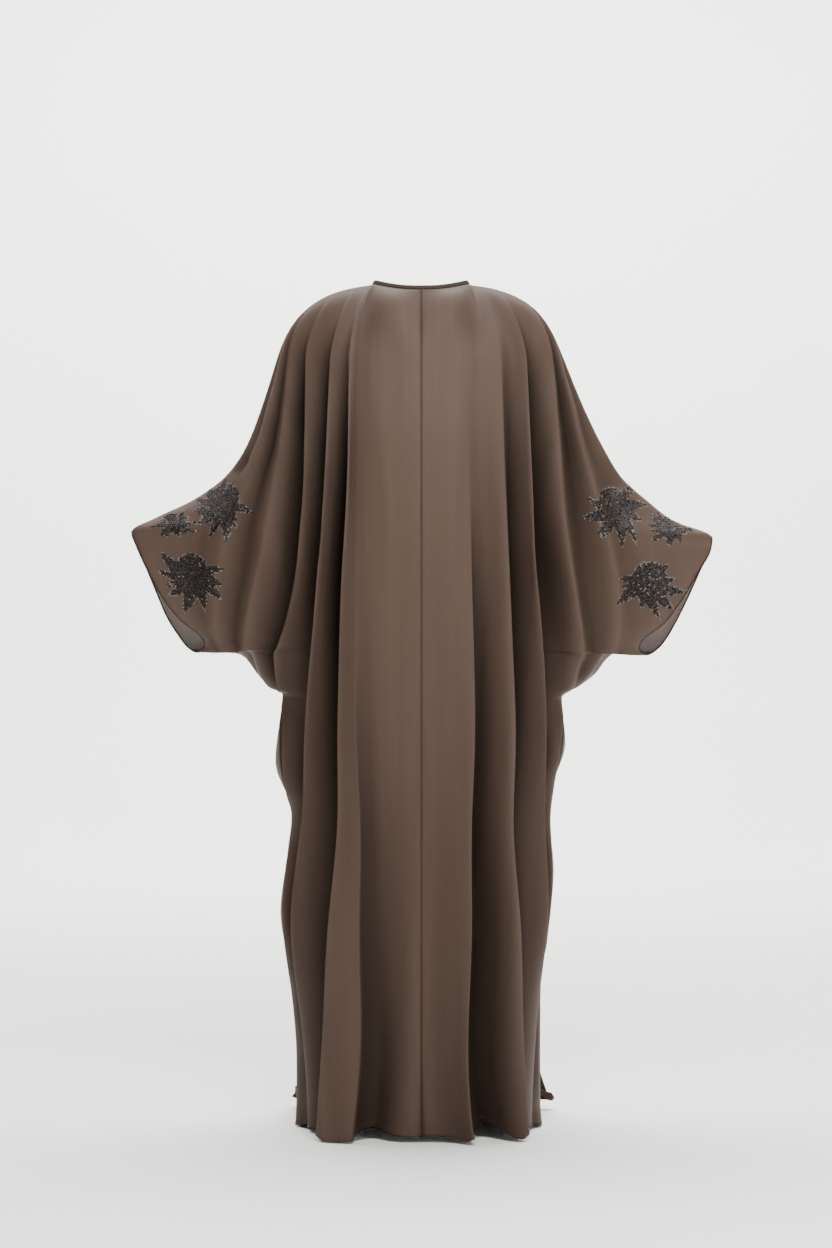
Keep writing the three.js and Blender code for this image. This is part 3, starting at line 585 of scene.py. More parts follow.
def openness(points, bare):
    """How open each point of the rows lies: 1 on flat cloth, less in a fold, more on a crest."""
    x, y = points[:, :, 0], points[:, :, 1]
    nothing, least = LOOK["nothing"], LOOK["least"]
    sides = []
    for way in (1, -1):
        blocked = np.full_like(x, nothing)
        for step in range(1, LOOK["points"]):
            near = slice(None, -step) if way > 0 else slice(step, None)
            other = slice(step, None) if way > 0 else slice(None, -step)
            dx = x[:, other] - x[:, near]
            dy = y[:, other] - y[:, near]
            far = np.hypot(dx, dy)
            lean = (dx * bare[:, near, 0] + dy * bare[:, near, 1]) / np.maximum(far, 1e-6)
            lean = lean * ease((LOOK["far"] - far) / LOOK["fade"])
            lean = np.where(far > LOOK["near"], lean, nothing)
            blocked[:, near] = np.maximum(blocked[:, near], lean)
        sides.append(blocked)
    left, right = sides
    left, right = np.where(left <= nothing, right, left), np.where(right <= nothing, left, right)
    return 1 - (np.maximum(left, least) + np.maximum(right, least)) / 2


def fold_shade(points, bare):
    """The shade painted into the cloth's colour in its folds, with a painted highlight on its crests, from
    how open each point lies.
    """
    seen = openness(points, bare)
    share = np.clip((seen - OPEN_DARK) / (1 - OPEN_DARK), 0, 1)
    deep = mix(FOLD_DARK, 1, share ** FOLD_POWER)
    shade = np.where(seen > 1, 1 + CREST_LIGHT * (seen - 1), deep)
    for _ in range(2):
        shade[:, 1:-1] = (shade[:, :-2] + 2 * shade[:, 1:-1] + shade[:, 2:]) / 4
        shade[1:-1] = (shade[:-2] + 2 * shade[1:-1] + shade[2:]) / 4
    return shade


def placed(grid, key, seed):
    """The middle surface of a panel in the abaya's own frame, in millimetres, with all its relief."""
    points = grid["points"].copy()
    mirror, facing = grid["mirror"], grid["facing"]
    girth, down = distances_along(points, 1), distances_along(points, 0)
    above = down[-1:] - down
    edge = ease((girth[:, -1:] - girth) / RELIEF_FADE["side"])
    top = ease(down / RELIEF_FADE["top"])
    relief = crease_field(points, CREASES[key]) * edge
    relief += ripple_field(points, girth, seed) * edge * top
    relief += seam_tuck(points, girth, SEAM["seeds"] + seed) * top
    relief += hem_fold(above)
    corner = bell((grid["share"] - HEM_CURL["share"]) / HEM_CURL["wide"])
    curl = ease(1 - above / HEM_CURL["height"]) * corner
    if facing > 0:
        relief -= HEM_CURL["inwards"] * curl
    across = facing * points[:, :, 1] + grid["forward"]
    world = np.stack([mirror * points[:, :, 0], across, points[:, :, 2] - LENGTH], 2)
    normal = normals_of(world, mirror * facing)
    world = world + normal * relief[:, :, None]
    if facing > 0:
        world[:, :, 2] += HEM_CURL["up"] * curl
    world[:, 0, 0] = 0
    normal = normals_of(world, mirror * facing)
    normal[:, 0, 0] = 0
    normal[grid["opened"] < CUFF["closed"], -1, 1] = 0
    normal[0, grid["neck_column"]:, 1] = 0
    normal[-1, :, 2] = 0
    return dict(world=world, normal=unit(normal), girth=girth, down=down)


def link(name, data):
    """A new object in the scene."""
    piece = bpy.data.objects.new(name, data)
    bpy.context.scene.collection.objects.link(piece)
    return piece


def smooth_piece(name, points, quads, materials):
    """A piece with smooth faces, from points in millimetres."""
    mesh = bpy.data.meshes.new(name)
    mesh.from_pydata((points / 1000).tolist(), [], quads.tolist())
    for material in materials:
        mesh.materials.append(material)
    mesh.polygons.foreach_set("use_smooth", np.ones(len(mesh.polygons), dtype=bool))
    mesh.update()
    return link(name, mesh)


def grid_quads(rows, columns):
    """The quads between the points of a grid, which are numbered along its rows."""
    index = np.arange(rows * columns).reshape(rows, columns)
    return np.stack([index[:-1, :-1], index[1:, :-1], index[1:, 1:], index[:-1, 1:]], 2).reshape(-1, 4)


def shell(name, grid, materials, shade, inside, veil):
    """A closed thin shell round a grid of middle points, with a UV map in metres along the cloth."""
    world, half = grid["world"], grid["normal"] * CLOTH / 2
    rows, columns = world.shape[:2]
    count = rows * columns
    index = np.arange(count).reshape(rows, columns)
    outer = grid_quads(rows, columns)
    quads = [outer, outer[:, [0, 3, 2, 1]] + count]
    for rim in (index[:, 0], index[::-1, -1], index[0, ::-1], index[-1]):
        first, second = rim[:-1], rim[1:]
        quads.append(np.stack([first, first + count, second + count, second], 1))
    quads = np.concatenate(quads)
    if grid["mirror"] * grid["facing"] > 0:
        quads = quads[:, ::-1]
    points = np.concatenate([(world + half).reshape(-1, 3), (world - half).reshape(-1, 3)])
    piece = smooth_piece(name, points, quads, materials)
    mesh = piece.data
    corners = np.empty(len(mesh.loops), dtype=np.int32)
    mesh.loops.foreach_get("vertex_index", corners)
    flat = np.stack([grid["girth"].ravel(), -grid["down"].ravel()], 1) / 1000
    flat = np.concatenate([flat, flat])[corners].astype(np.float32)
    mesh.uv_layers.new(name="cloth").data.foreach_set("uv", flat.ravel())
    painted = dict(fold_shade=np.concatenate([shade.ravel(), inside.ravel()]),
                   sheer=np.concatenate([veil.ravel(), veil.ravel()]))
    for key, values in painted.items():
        layer = mesh.attributes.new(name=key, type="FLOAT", domain="POINT")
        layer.data.foreach_set("value", values.astype(np.float32))
    thin = painted["sheer"][quads].max(axis=1) > 0.001
    mesh.polygons.foreach_set("material_index", thin.astype(np.int32))
    mesh.update()
    return piece


def fill(tree, node, inputs):
    """Sets a node's inputs, or wires them where the value is another node's output."""
    for key, value in inputs.items():
        if isinstance(value, bpy.types.NodeSocket):
            tree.links.new(value, node.inputs[key])
        else:
            node.inputs[key].default_value = value


def add(tree, kind, inputs=None, **settings):
    """A new node with its settings and inputs."""
    node = tree.nodes.new(kind)
    for key, value in settings.items():
        setattr(node, key, value)
    fill(tree, node, inputs or {})
    return node


def new_material(name):
    """A material, its node tree and its main shader."""
    material = bpy.data.materials.new(name)
    material.use_nodes = True
    return material, material.node_tree, material.node_tree.nodes["Principled BSDF"]


def noise(tree, at, scale, detail):
    """An uneven value from place to place."""
    inputs = {"Vector": at, "Scale": scale, "Detail": detail}
    return add(tree, "ShaderNodeTexNoise", inputs).outputs["Fac"]


def between(tree, value, low, high):
    """A colour from low to high, in the middle of a noise's range."""
    node = add(tree, "ShaderNodeValToRGB", {"Fac": value})
    for stop, place, color in zip(node.color_ramp.elements, (0.35, 0.65), (low, high)):
        stop.position = place
        stop.color = (*color, 1)
    return node.outputs["Color"]


def raised(tree, height, strength, distance):
    """The surface's direction with a fine relief."""
    inputs = {"Strength": strength, "Distance": distance, "Height": height}
    return add(tree, "ShaderNodeBump", inputs).outputs["Normal"]


def attribute(tree, name):
    """A value painted on the piece."""
    return add(tree, "ShaderNodeAttribute", attribute_name=name).outputs["Fac"]


def mixed_shader(tree, share, first, second):
    """Two shaders, with a share of the second."""
    return add(tree, "ShaderNodeMixShader", {"Fac": share, 1: first, 2: second}).outputs["Shader"]


BROWN = dict(color=(0.106, 0.068, 0.050), dark=(0.092, 0.058, 0.042), sheen=(0.9, 0.75, 0.65, 1))
CREPE_GRAIN = dict(stretch=(900, 700, 1), strength=0.25, deep=0.0002)
CREPE_STREAKS = (26, 1.6, 1)
CREPE_GLOSS = 0.22
CREPE_THROUGH = 0.2  # share of the light that comes through the cloth


def crepe(name, sheer=False):
    """Woven crepe: a fine pebbled surface, a soft sheen, and a little light through it. Its colour and its
    gloss are multiplied by the shade painted into its folds.
    """
    material, tree, bsdf = new_material(name)
    uv = add(tree, "ShaderNodeUVMap", uv_map="cloth").outputs["UV"]
    grain, streaks = [add(tree, "ShaderNodeMapping", {"Vector": uv, "Scale": stretch}).outputs["Vector"]
                      for stretch in (CREPE_GRAIN["stretch"], CREPE_STREAKS)]
    normal = raised(tree, noise(tree, grain, 1.0, 2.0), CREPE_GRAIN["strength"], CREPE_GRAIN["deep"])
    shade = attribute(tree, "fold_shade")
    shaded = add(tree, "ShaderNodeMix", data_type="RGBA", blend_type="MULTIPLY")
    shaded.inputs["Factor"].default_value = 1.0
    color_a, color_b = [socket for socket in shaded.inputs if socket.type == "RGBA"]
    color = next(socket for socket in shaded.outputs if socket.type == "RGBA")
    tree.links.new(between(tree, noise(tree, streaks, 1.0, 3.0), BROWN["dark"], BROWN["color"]), color_a)
    tree.links.new(shade, color_b)
    # Painted shade and highlight on the gloss: it follows the painted fold shade, lower in the folds and
    # higher on the crests.
    gloss = add(tree, "ShaderNodeMath", {0: shade, 1: CREPE_GLOSS}, operation="MULTIPLY")
    fill(tree, bsdf, {"Normal": normal, "Base Color": color, "Roughness": 0.55,
                      "Specular IOR Level": gloss.outputs[0], "Sheen Weight": 0.05,
                      "Sheen Roughness": 0.4, "Sheen Tint": BROWN["sheen"]})
    through = add(tree, "ShaderNodeBsdfTranslucent", {"Color": color, "Normal": normal})
    cloth = mixed_shader(tree, CREPE_THROUGH, bsdf.outputs["BSDF"], through.outputs["BSDF"])
    if sheer:
        clear = add(tree, "ShaderNodeBsdfTransparent").outputs["BSDF"]
        cloth = mixed_shader(tree, attribute(tree, "sheer"), cloth, clear)
    fill(tree, tree.nodes["Material Output"], {"Surface": cloth})
    return material


def mottled(name, color, rough, uneven, grain, deep=0.0, gloss=None):
    """A colour that varies a little from place to place, with a fine relief where it has one."""
    material, tree, bsdf = new_material(name)
    height = noise(tree, add(tree, "ShaderNodeTexCoord").outputs["Object"], grain, 3.0)
    low, high = [[min(1.0, part * factor) for part in color] for factor in (1 - uneven, 1 + uneven)]
    fill(tree, bsdf, {"Base Color": between(tree, height, low, high), "Roughness": rough})
    if deep:
        fill(tree, bsdf, {"Normal": raised(tree, height, 0.3, deep)})
    if gloss is not None:
        fill(tree, bsdf, {"Specular IOR Level": gloss})
    return material


CREPE = crepe("brown_crepe")
SHEER = crepe("sheer_crepe", sheer=True)
EDGE = mottled("dark_edging", (0.035, 0.022, 0.017), 0.7, 0.25, 420, 0.0002, 0.12)
THREAD = mottled("brown_thread", (0.05, 0.032, 0.025), 0.7, 0.2, 900, 0.0001)
JET = mottled("jet_bead", (0.004, 0.004, 0.005), 0.24, 0.4, 180, gloss=0.22)
# Steel beads: the outline of each spray, and the few lighter beads among the dark ones as painted glints.
STEEL_AND_GLINT = mottled("steel_and_glint_bead", (0.11, 0.11, 0.115), 0.3, 0.5, 150, gloss=0.8)


def panel(key, row_gap, spacing, shoulder_rows, seed):
    """One half of the back or front, in one with its half-sleeve, with its painted shading."""
    grid = panel_grid(key, row_gap, spacing, shoulder_rows)
    grid.update(placed(grid, key, seed))

    def near_cuff(look):
        opened = ease(grid["opened"] * look["opening"])[:, None]
        return ease((grid["share"] - look["share"]) / look["over"]) * opened

    shade = fold_shade(grid["points"], grid["bare"])
    shade *= 1 - HOLLOW["dark"] * ease((grid["hollow"] - HOLLOW["begins"]) / HOLLOW["over"])
    over = ease(np.arange(len(shade)) / shoulder_rows)[:, None]
    shade = mix(SHOULDER_SHADE, shade, over)
    shade *= 1 - SEAM_DARK * bell(grid["girth"] / SEAM_WIDE)
    fallen = grid["points"][0, 0, 2] - grid["points"][:, :, 2]
    shade *= mix(1.0, HEM_DARK, ease(fallen / LENGTH))
    inside = mix(INSIDE_SHADE, CUFF_INSIDE["shade"], near_cuff(CUFF_INSIDE))
    veil = near_cuff(VEIL) * (VEIL["most"] if grid["facing"] > 0 else 0.0)
    grid["piece"] = shell(f"cloth_{key}", grid, [CREPE, SHEER], shade, inside, veil)
    return grid


# Gap between the rows and along a row, and rows over the shoulder; the back is the finer one.
GRIDS = dict(back=(5.0, 4.6, 40), front=(7.0, 6.0, 30))
RIPPLE_SEEDS = dict(back_left=7, back_right=8, front_left=9, front_right=10)
PANELS = {key: panel(key, *GRIDS[key.split("_")[0]], seed) for key, seed in RIPPLE_SEEDS.items()}


def points_at(wanted, far, line):
    """Points of a line at wanted distances along it."""
    return np.stack([np.interp(wanted, far, line[:, i]) for i in range(3)], 1)


def ring_piece(name, rings, turned=False):
    """A closed band through rings of points."""
    count, sides = rings.shape[:2]
    index = np.arange(count * sides).reshape(count, sides)
    ahead = np.roll(index, -1, 0)
    quads = np.stack([index, np.roll(index, -1, 1), np.roll(ahead, -1, 1), ahead], 2).reshape(-1, 4)
    if turned:
        quads = quads[:, [0, 3, 2, 1]]
    return smooth_piece(name, rings.reshape(-1, 3), quads, [EDGE])


def tube(name, loop, radius, sides=8):
    """A round edge along a loop of points."""
    along = unit(np.roll(loop, -1, 0) - np.roll(loop, 1, 0))
    u = unit(np.cross(along, [0, 1.0, 0]))
    for i in range(1, len(loop)):
        u[i] = unit(u[i - 1] - along[i] * np.dot(u[i - 1], along[i]))
    v = np.cross(along, u)
    angles = (np.arange(sides) / sides * 2 * np.pi)[None, :, None]
    rings = loop[:, None] + radius * (np.cos(angles) * u[:, None] + np.sin(angles) * v[:, None])
    return ring_piece(name, rings)


def even(points, outs, gap):
    """A closed loop with evenly spaced points, and the ways out there."""
    closed = np.concatenate([points, points[:1]])
    ways = np.concatenate([outs, outs[:1]])
    far = distances_along(closed)
    count = int(far[-1] / gap)
    at = np.arange(count) / count * far[-1]
    new, way = points_at(at, far, closed), points_at(at, far, ways)
    for _ in range(2):
        new, way = softened(new), softened(way)
    return new, unit(way)


def cuff_loop(side):
    """The edge of a cuff's opening, down its back and up its front, and the ways out of the cloth."""

    def run(grid):
        rows = np.where(grid["opened"] > CUFF["edge"])[0]
        rows = np.arange(rows[0] - 1, rows[-1] + 2)
        edge = grid["world"][rows, -1]
        return edge, unit(edge - grid["world"][rows, -3])

    back_edge, back_out = run(PANELS[f"back_{side}"])
    front_edge, front_out = run(PANELS[f"front_{side}"])
    points = np.concatenate([back_edge, front_edge[::-1][1:-1]])
    outs = np.concatenate([back_out, front_out[::-1][1:-1]])
    return even(points, outs, LOOP_GAP)


CUFFS = {}
for side in ("left", "right"):
    points, outs = cuff_loop(side)
    CUFFS[side] = tube(f"rolled_cuff_{side}", points + outs * CUFF["beyond"], CUFF["radius"])


def neck_loop():
    """The points of the neckline, once round."""

    def edge(key):
        grid = PANELS[key]
        return grid["world"][0, :grid["neck_column"] + 1]

    return np.concatenate([edge("back_right"), edge("front_right")[::-1][1:], edge("front_left")[1:],
                           edge("back_left")[::-1][1:-1]])


def band_profile():
    """Points round the folded strip: height above the neckline, and to the side."""
    profile = []
    for k in range(NECK_BAND["sides"]):
        angle = 2 * np.pi * k / NECK_BAND["sides"]
        c, s = math.cos(angle), math.sin(angle)
        high = NECK_BAND["width"] / 2 * (1 + math.copysign(abs(s) ** 0.5, s)) + NECK_BAND["above"]
        wide = NECK_BAND["half"] * math.copysign(abs(c) ** 0.6, c)
        profile.append((high, wide))
    return profile


def binding():
    """The neck binding, a folded strip round the neckline, and the line of its stitches."""
    loop = neck_loop()
    lean = unit(np.stack([-loop[:, 0], -loop[:, 1], 0 * loop[:, 0]], 1))
    loop, lean = even(loop, lean * NECK_BAND["lean"] + np.array([0, 0, 1.0]), LOOP_GAP)
    along = unit(np.roll(loop, -1, 0) - np.roll(loop, 1, 0))
    lean = unit(lean - along * np.sum(lean * along, axis=1)[:, None])
    side = np.cross(along, lean)
    rings = np.stack([loop + lean * high + side * wide for high, wide in band_profile()], 1)
    outwards = np.sign(np.sum(side * (loop - loop.mean(axis=0)), axis=1))[:, None]
    row = loop + lean * NECK_BAND["stitches"] + side * outwards * NECK_BAND["row_out"]
    return ring_piece("neck_binding_strip", rings, turned=True), np.concatenate([row, row[:1]])


BINDING, NECK_ROW = binding()

# Beaded leaf sprays, a few curved leaves round a heart, of dark beads with lighter ones along the edges and a
# few as painted glints.
# Middle (x to the wearer's right, height), width, height, turn in degrees, seed, and the face it is sewn on.
SPRAYS = dict(
    left=[((-341, 1060), 110, 112, -118, 3, "back"), ((-390, 938), 120, 112, -80, 5, "back"),
          ((-424, 1027), 84, 56, -70, 8, "back"), ((-214, 1262), 92, 104, -60, 11, "front"),
          ((-352, 1040), 100, 110, -100, 13, "front"), ((-398, 930), 118, 108, -75, 15, "front")],
    right=[((332, 1051), 104, 120, -60, 4, "back"), ((388, 925), 124, 108, -100, 6, "back"),
           ((424, 1024), 92, 58, -110, 9, "back"), ((212, 1262), 92, 104, -120, 12, "front"),
           ((348, 1034), 100, 112, -80, 14, "front"), ((394, 922), 120, 106, -105, 16, "front")],
)
# The leaves, in shares of a spray's half size, and the heart that is set back from their fan.
LEAF = dict(count=9, fan=122, uneven=0.16, length=(0.7, 1.12), width=(0.22, 0.29), bend=(0.28, 0.5),
            taper=0.8)
HEART = dict(radius=0.47, back=0.26)
# The rows of beads: half the span they cover, gap in millimetres, how much closer the rows lie, how far a
# bead strays, the share of lighter beads put among the dark as painted glints, and how far inside the outline
# the two kinds begin.
BEAD_ROWS = dict(span=1.1, gap=3.7, closer=0.87, stray=0.18, painted_glint=0.05, dark_from=0.03, edge_from=-0.01)
BEAD = dict(jet=2.1, steel=1.3, uneven=(0.85, 1.1), shape=(1.0, 1.0, 0.55), spin=2 * math.pi, seed=5)
BEAD_SEED = 40
BEAD_FACES = 0.12  # least lean of the cloth towards the back or front where a bead is sewn
OUTSIDE = 400  # from where beads are dropped on the cloth


def leaf_spray(wide, high, turn, seed):
    """Bead places over one spray: a closely filled middle, an outline of smaller beads, and a few small
    lighter beads among the middle as painted glints.
    """
    rng = np.random.default_rng(seed)
    count = LEAF["count"]
    angles = np.radians(turn + np.linspace(-LEAF["fan"], LEAF["fan"], count))
    angles = angles + rng.uniform(-LEAF["uneven"], LEAF["uneven"], count)
    lengths = rng.uniform(*LEAF["length"], count)
    widths = rng.uniform(*LEAF["width"], count)
    bends = rng.uniform(*LEAF["bend"], count) * rng.choice([-1, 1])
    heart_u = -HEART["back"] * math.cos(math.radians(turn))
    heart_v = -HEART["back"] * math.sin(math.radians(turn))

    def margin(u, v):
        """How far inside the spray a place is, in shares of its half size; negative outside."""
        best = HEART["radius"] - np.hypot(u - heart_u, v - heart_v)
        for a, far, half, bend in zip(angles, lengths, widths, bends):
            along = u * np.cos(a) + v * np.sin(a)
            side = -u * np.sin(a) + v * np.cos(a)
            t = np.clip(along / far, 0, 1)
            inside = half * (1 - t ** 2) ** LEAF["taper"] - np.abs(side - bend * t * t)
            best = np.maximum(best, np.where((along > 0) & (along < far), inside, -1))
        return best

    gu, gv = BEAD_ROWS["gap"] / (wide / 2), BEAD_ROWS["gap"] / (high / 2)
    span, stray = BEAD_ROWS["span"], BEAD_ROWS["stray"]
    rows = np.arange(-span, span, gv * BEAD_ROWS["closer"])
    row = np.arange(-span, span, gu)
    u = np.concatenate([row + (k % 2) * gu / 2 for k in range(len(rows))])
    v = np.repeat(rows, len(row))
    u = u + rng.uniform(-stray, stray, len(u)) * gu
    v = v + rng.uniform(-stray, stray, len(v)) * gv
    inside = margin(u, v)
    # A few beads in the middle become lighter ones, as painted glints.
    painted_glint = rng.random(len(u)) < BEAD_ROWS["painted_glint"]
    dark = (inside > BEAD_ROWS["dark_from"]) & ~painted_glint
    edge = (inside > BEAD_ROWS["edge_from"]) & ~dark
    spots = np.stack([u * wide / 2, v * high / 2], 1)
    return dict(jet=spots[dark], steel=spots[edge])


def cloth_tree(grid):
    """The outer face of a panel, for finding places on it."""
    outer = (grid["world"] + grid["normal"] * CLOTH / 2).reshape(-1, 3)
    return BVHTree.FromPolygons(outer.tolist(), grid_quads(*grid["world"].shape[:2]).tolist())


def beads_on(side, kind):
    """Places, ways out and sizes for one kind of bead on one side."""
    rng = np.random.default_rng(BEAD_SEED + len(kind))
    places, ways, sizes = [], [], []
    for (x, height), wide, high, turn, seed, face in SPRAYS[side]:
        facing = -1 if face == "back" else 1
        tree = cloth_tree(PANELS[f"{face}_{side}"])
        for du, dv in leaf_spray(wide, high, turn, seed)[kind]:
            start = Vector((x + du, facing * OUTSIDE, height + dv - LENGTH))
            hit, normal, _, _ = tree.ray_cast(start, Vector((0, -facing, 0)))
            if hit is None:
                continue
            if normal.y * facing < 0:
                normal = -normal
            if normal.y * facing < BEAD_FACES:
                continue
            places.append(np.array(hit) / 1000)
            ways.append(np.array(normal))
            sizes.append(BEAD[kind] / 1000 * rng.uniform(*BEAD["uneven"]))
    return np.array(places), np.array(ways), np.array(sizes)


def scatter_tree(name, material, axis, shape, spin, seed):
    """Geometry nodes: a small faceted lump on each point, its axis along the point's way, sized by the point.

    Returns the tree, and the value of each of its inputs by the socket's identifier.
    """
    tree = bpy.data.node_groups.new(name, "GeometryNodeTree")
    sockets = tree.interface
    sockets.new_socket(name="Geometry", in_out="INPUT", socket_type="NodeSocketGeometry")
    values = {}
    inputs = (("Shape", "Vector", shape), ("Most spin", "Float", spin), ("Seed", "Int", seed))
    for label, kind, value in inputs:
        socket = sockets.new_socket(name=label, in_out="INPUT", socket_type="NodeSocket" + kind)
        socket.default_value = value
        values[socket.identifier] = value
    sockets.new_socket(name="Geometry", in_out="OUTPUT", socket_type="NodeSocketGeometry")
    start = tree.nodes.new("NodeGroupInput").outputs

    def read(key, kind):
        node = add(tree, "GeometryNodeInputNamedAttribute", {"Name": key}, data_type=kind)
        return node.outputs["Attribute"]

    lump = add(tree, "GeometryNodeMeshIcoSphere", {"Radius": 1.0, "Subdivisions": 1}).outputs["Mesh"]
    shaped = add(tree, "GeometryNodeTransform", {"Geometry": lump, "Scale": start["Shape"]})
    turn = add(tree, "FunctionNodeAlignEulerToVector", {"Vector": read("way", "FLOAT_VECTOR")}, axis=axis)
    most = {2: 0.0, 3: start["Most spin"], "Seed": start["Seed"]}
    about = add(tree, "FunctionNodeRandomValue", most, data_type="FLOAT").outputs[1]
    about = add(tree, "ShaderNodeCombineXYZ", {2: about}).outputs[0]
    turned = add(tree, "FunctionNodeRotateEuler", rotation_type="EULER", space="LOCAL")
    fill(tree, turned, {"Rotation": turn.outputs["Rotation"], "Rotate By": about})
    place = add(tree, "GeometryNodeInstanceOnPoints", {
        "Points": start["Geometry"], "Instance": shaped.outputs["Geometry"],
        "Rotation": turned.outputs["Rotation"], "Scale": read("size", "FLOAT")})
    real = add(tree, "GeometryNodeRealizeInstances", {"Geometry": place.outputs["Instances"]})
    real = real.outputs["Geometry"]
    dressed = add(tree, "GeometryNodeSetMaterial", {"Geometry": real, "Material": material})
    add(tree, "NodeGroupOutput", {"Geometry": dressed.outputs["Geometry"]})
    return tree, values


def made_by_nodes(name, places, ways, sizes, tree, values):
    """Runs a tree on a cloud of points and keeps its result as a plain mesh."""
    cloud = bpy.data.meshes.new(name + "_points")
    cloud.from_pydata(places.tolist(), [], [])
    way = cloud.attributes.new(name="way", type="FLOAT_VECTOR", domain="POINT")
    way.data.foreach_set("vector", ways.astype(np.float32).ravel())
    size = cloud.attributes.new(name="size", type="FLOAT", domain="POINT")
    size.data.foreach_set("value", sizes.astype(np.float32))
    carrier = link(name + "_carrier", cloud)
    modifier = carrier.modifiers.new("scatter", "NODES")
    modifier.node_group = tree
    for identifier, value in values.items():
        modifier[identifier] = value
    bpy.context.view_layer.update()
    result = bpy.data.meshes.new_from_object(carrier.evaluated_get(bpy.context.evaluated_depsgraph_get()))
    bpy.data.objects.remove(carrier)
    result.name = name
    result.polygons.foreach_set("use_smooth", np.zeros(len(result.polygons), dtype=bool))
    result.update()
    return link(name, result)


BEADS = []
for side in ("left", "right"):
    for kind, material in (("jet", JET), ("steel", STEEL_AND_GLINT)):
        scatter = scatter_tree(f"{kind}_beads", material, "Z", BEAD["shape"], BEAD["spin"], BEAD["seed"])
        BEADS.append(made_by_nodes(f"{kind}_beads_{side}", *beads_on(side, kind), *scatter))

# Rows of stitches: along the hem, round each cuff, and along the lower edge of the neck binding.
STITCH = dict(gap=3.6, size=0.001, shape=(1.3, 0.3, 0.3), above=0.1, seed=3)


def stitch_row(line):
    """Evenly spaced stitches along a line of points in millimetres, and the ways they lie."""
    far = distances_along(line)
    at = np.arange(STITCH["gap"] / 2, far[-1], STITCH["gap"])
    return points_at(at, far, line), points_at(at + 1, far, line) - points_at(at - 1, far, line)


def on_cloth(world, normal, distances, wanted):
    """Points just proud of the cloth, where the distances of each line of it pass a wanted one."""
    found = []
    surface = world + normal * (CLOTH / 2 + STITCH["above"])
    for line, far in zip(surface, distances):
        order = np.argsort(far)
        found.append([np.interp(wanted, far[order], line[order, i]) for i in range(3)])
    return np.array(found)


def hem_row(grid):
    """The line of the hem's stitches on a panel."""
    above = grid["down"][-1:] - grid["down"]
    world, normal = grid["world"].transpose(1, 0, 2), grid["normal"].transpose(1, 0, 2)
    return on_cloth(world, normal, above.T, HEM["stitches"])


def cuff_row(grid):
    """The line of the cuff's stitches on a panel."""
    rows = np.where(grid["opened"] > CUFF["stitched"])[0]
    from_edge = grid["girth"][:, -1:] - grid["girth"]
    return on_cloth(grid["world"][rows], grid["normal"][rows], from_edge[rows], CUFF["stitches"])


def stitches(name, rows):
    """One piece of thread that holds the stitches of some rows."""
    found = [stitch_row(row) for row in rows]
    places = np.concatenate([place for place, _ in found]) / 1000
    ways = unit(np.concatenate([way for _, way in found]))
    scatter = scatter_tree("stitches", THREAD, "X", STITCH["shape"], 0.0, STITCH["seed"])
    return made_by_nodes(name, places, ways, np.full(len(places), STITCH["size"]), *scatter)


SEWING = [stitches("hem_stitches", [hem_row(grid) for grid in PANELS.values()]),
          stitches("cuff_stitches", [cuff_row(grid) for grid in PANELS.values()]),
          stitches("neck_stitches", [NECK_ROW])]

# The camera and the studio, in metres.
CAMERA = dict(at=(-0.0086, -4.3, -0.583), lens=72.1, sensor=36)
FLOOR_DROP = 0.0012  # below the hem
ROOM = dict(near=-6.0, bend=4.9, radius=1.4, steps=12, top=4.6, half=7.0)
ROOM_LIGHT = dict(color=(1.0, 0.99, 0.97, 1), strength=0.16)
ROOM_SEEN = dict(color=(0.87, 0.87, 0.85, 1), strength=2.6)
# Place, the point it faces, size and power of each light.
LIGHTS = dict(
    key=((0.3, -2.1, 1.7), (0, 0, -0.35), (1.6, 1.0), 116),
    side=((1.9, -2.4, -0.2), (0, 0, -0.7), (0.7, 1.8), 28),
    wall=((0, 3.2, 2.3), (0, 6.3, 1.0), (8.0, 0.8), 560),
    floor_wash=((0, 1.6, 4.2), (0, 1.2, -1.4), (7.0, 2.6), 800),
)


def camera():
    """The photo's view, level and from behind."""
    data = bpy.data.cameras.new("camera")
    data.lens = CAMERA["lens"]
    data.sensor_width = CAMERA["sensor"]
    eye = link("camera", data)
    eye.location = CAMERA["at"]
    eye.rotation_euler = (math.pi / 2, 0, 0)
    bpy.context.scene.camera = eye


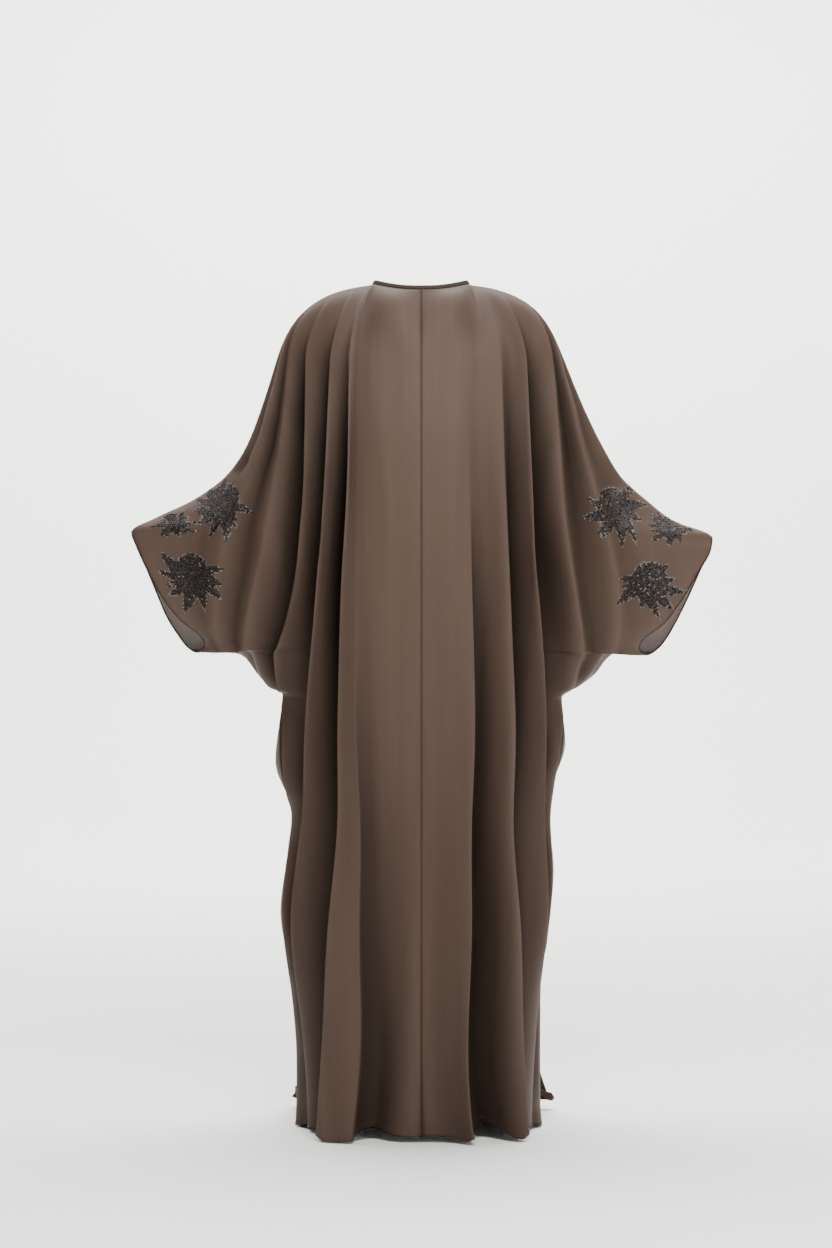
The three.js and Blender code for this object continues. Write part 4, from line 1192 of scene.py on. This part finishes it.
def room():
    """A pale floor that runs up into a pale wall."""
    level = -LENGTH / 1000 - FLOOR_DROP
    radius, steps = ROOM["radius"], ROOM["steps"]
    profile = [(ROOM["near"], level), (ROOM["bend"], level)]
    for i in range(1, steps + 1):
        angle = math.pi / 2 * i / steps
        profile.append((ROOM["bend"] + radius * math.sin(angle), level + radius * (1 - math.cos(angle))))
    profile.append((ROOM["bend"] + radius, ROOM["top"]))
    points = np.array([(x, y, z) for y, z in profile for x in (-ROOM["half"], ROOM["half"])]) * 1000
    quads = np.array([(2 * i, 2 * i + 1, 2 * i + 3, 2 * i + 2) for i in range(len(profile) - 1)])
    paper = mottled("pale_paper", (0.94, 0.935, 0.915), 0.9, 0.006, 1.5)
    smooth_piece("studio_floor", points, quads, [paper])


def air():
    """Soft light from all round, and a paler tone where the camera sees past the room."""
    world = bpy.data.worlds.new("soft_room")
    world.use_nodes = True
    tree = world.node_tree
    soft = tree.nodes["Background"]
    fill(tree, soft, {"Color": ROOM_LIGHT["color"], "Strength": ROOM_LIGHT["strength"]})
    pale = add(tree, "ShaderNodeBackground", {"Color": ROOM_SEEN["color"], "Strength": ROOM_SEEN["strength"]})
    seen = add(tree, "ShaderNodeLightPath").outputs["Is Camera Ray"]
    both = mixed_shader(tree, seen, soft.outputs["Background"], pale.outputs["Background"])
    fill(tree, tree.nodes["World Output"], {"Surface": both})
    bpy.context.scene.world = world


def lights():
    """Large soft lights."""
    for name, (at, towards, size, power) in LIGHTS.items():
        data = bpy.data.lights.new(name, "AREA")
        data.shape = "RECTANGLE"
        data.size, data.size_y = size
        data.energy = power
        lamp = link(name, data)
        lamp.location = at
        lamp.rotation_euler = (Vector(towards) - Vector(at)).to_track_quat("-Z", "Y").to_euler()


camera()
room()
air()
lights()

for key, grid in PANELS.items():
    piece = grid["piece"]
    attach(piece, "root")
    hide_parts(key)
for side, piece in CUFFS.items():
    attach(piece, "root")
    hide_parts(f"cuff_edge_{side}")
for piece in BEADS + SEWING:
    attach(piece, "root")
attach(BINDING, "root")
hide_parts("neck_binding")
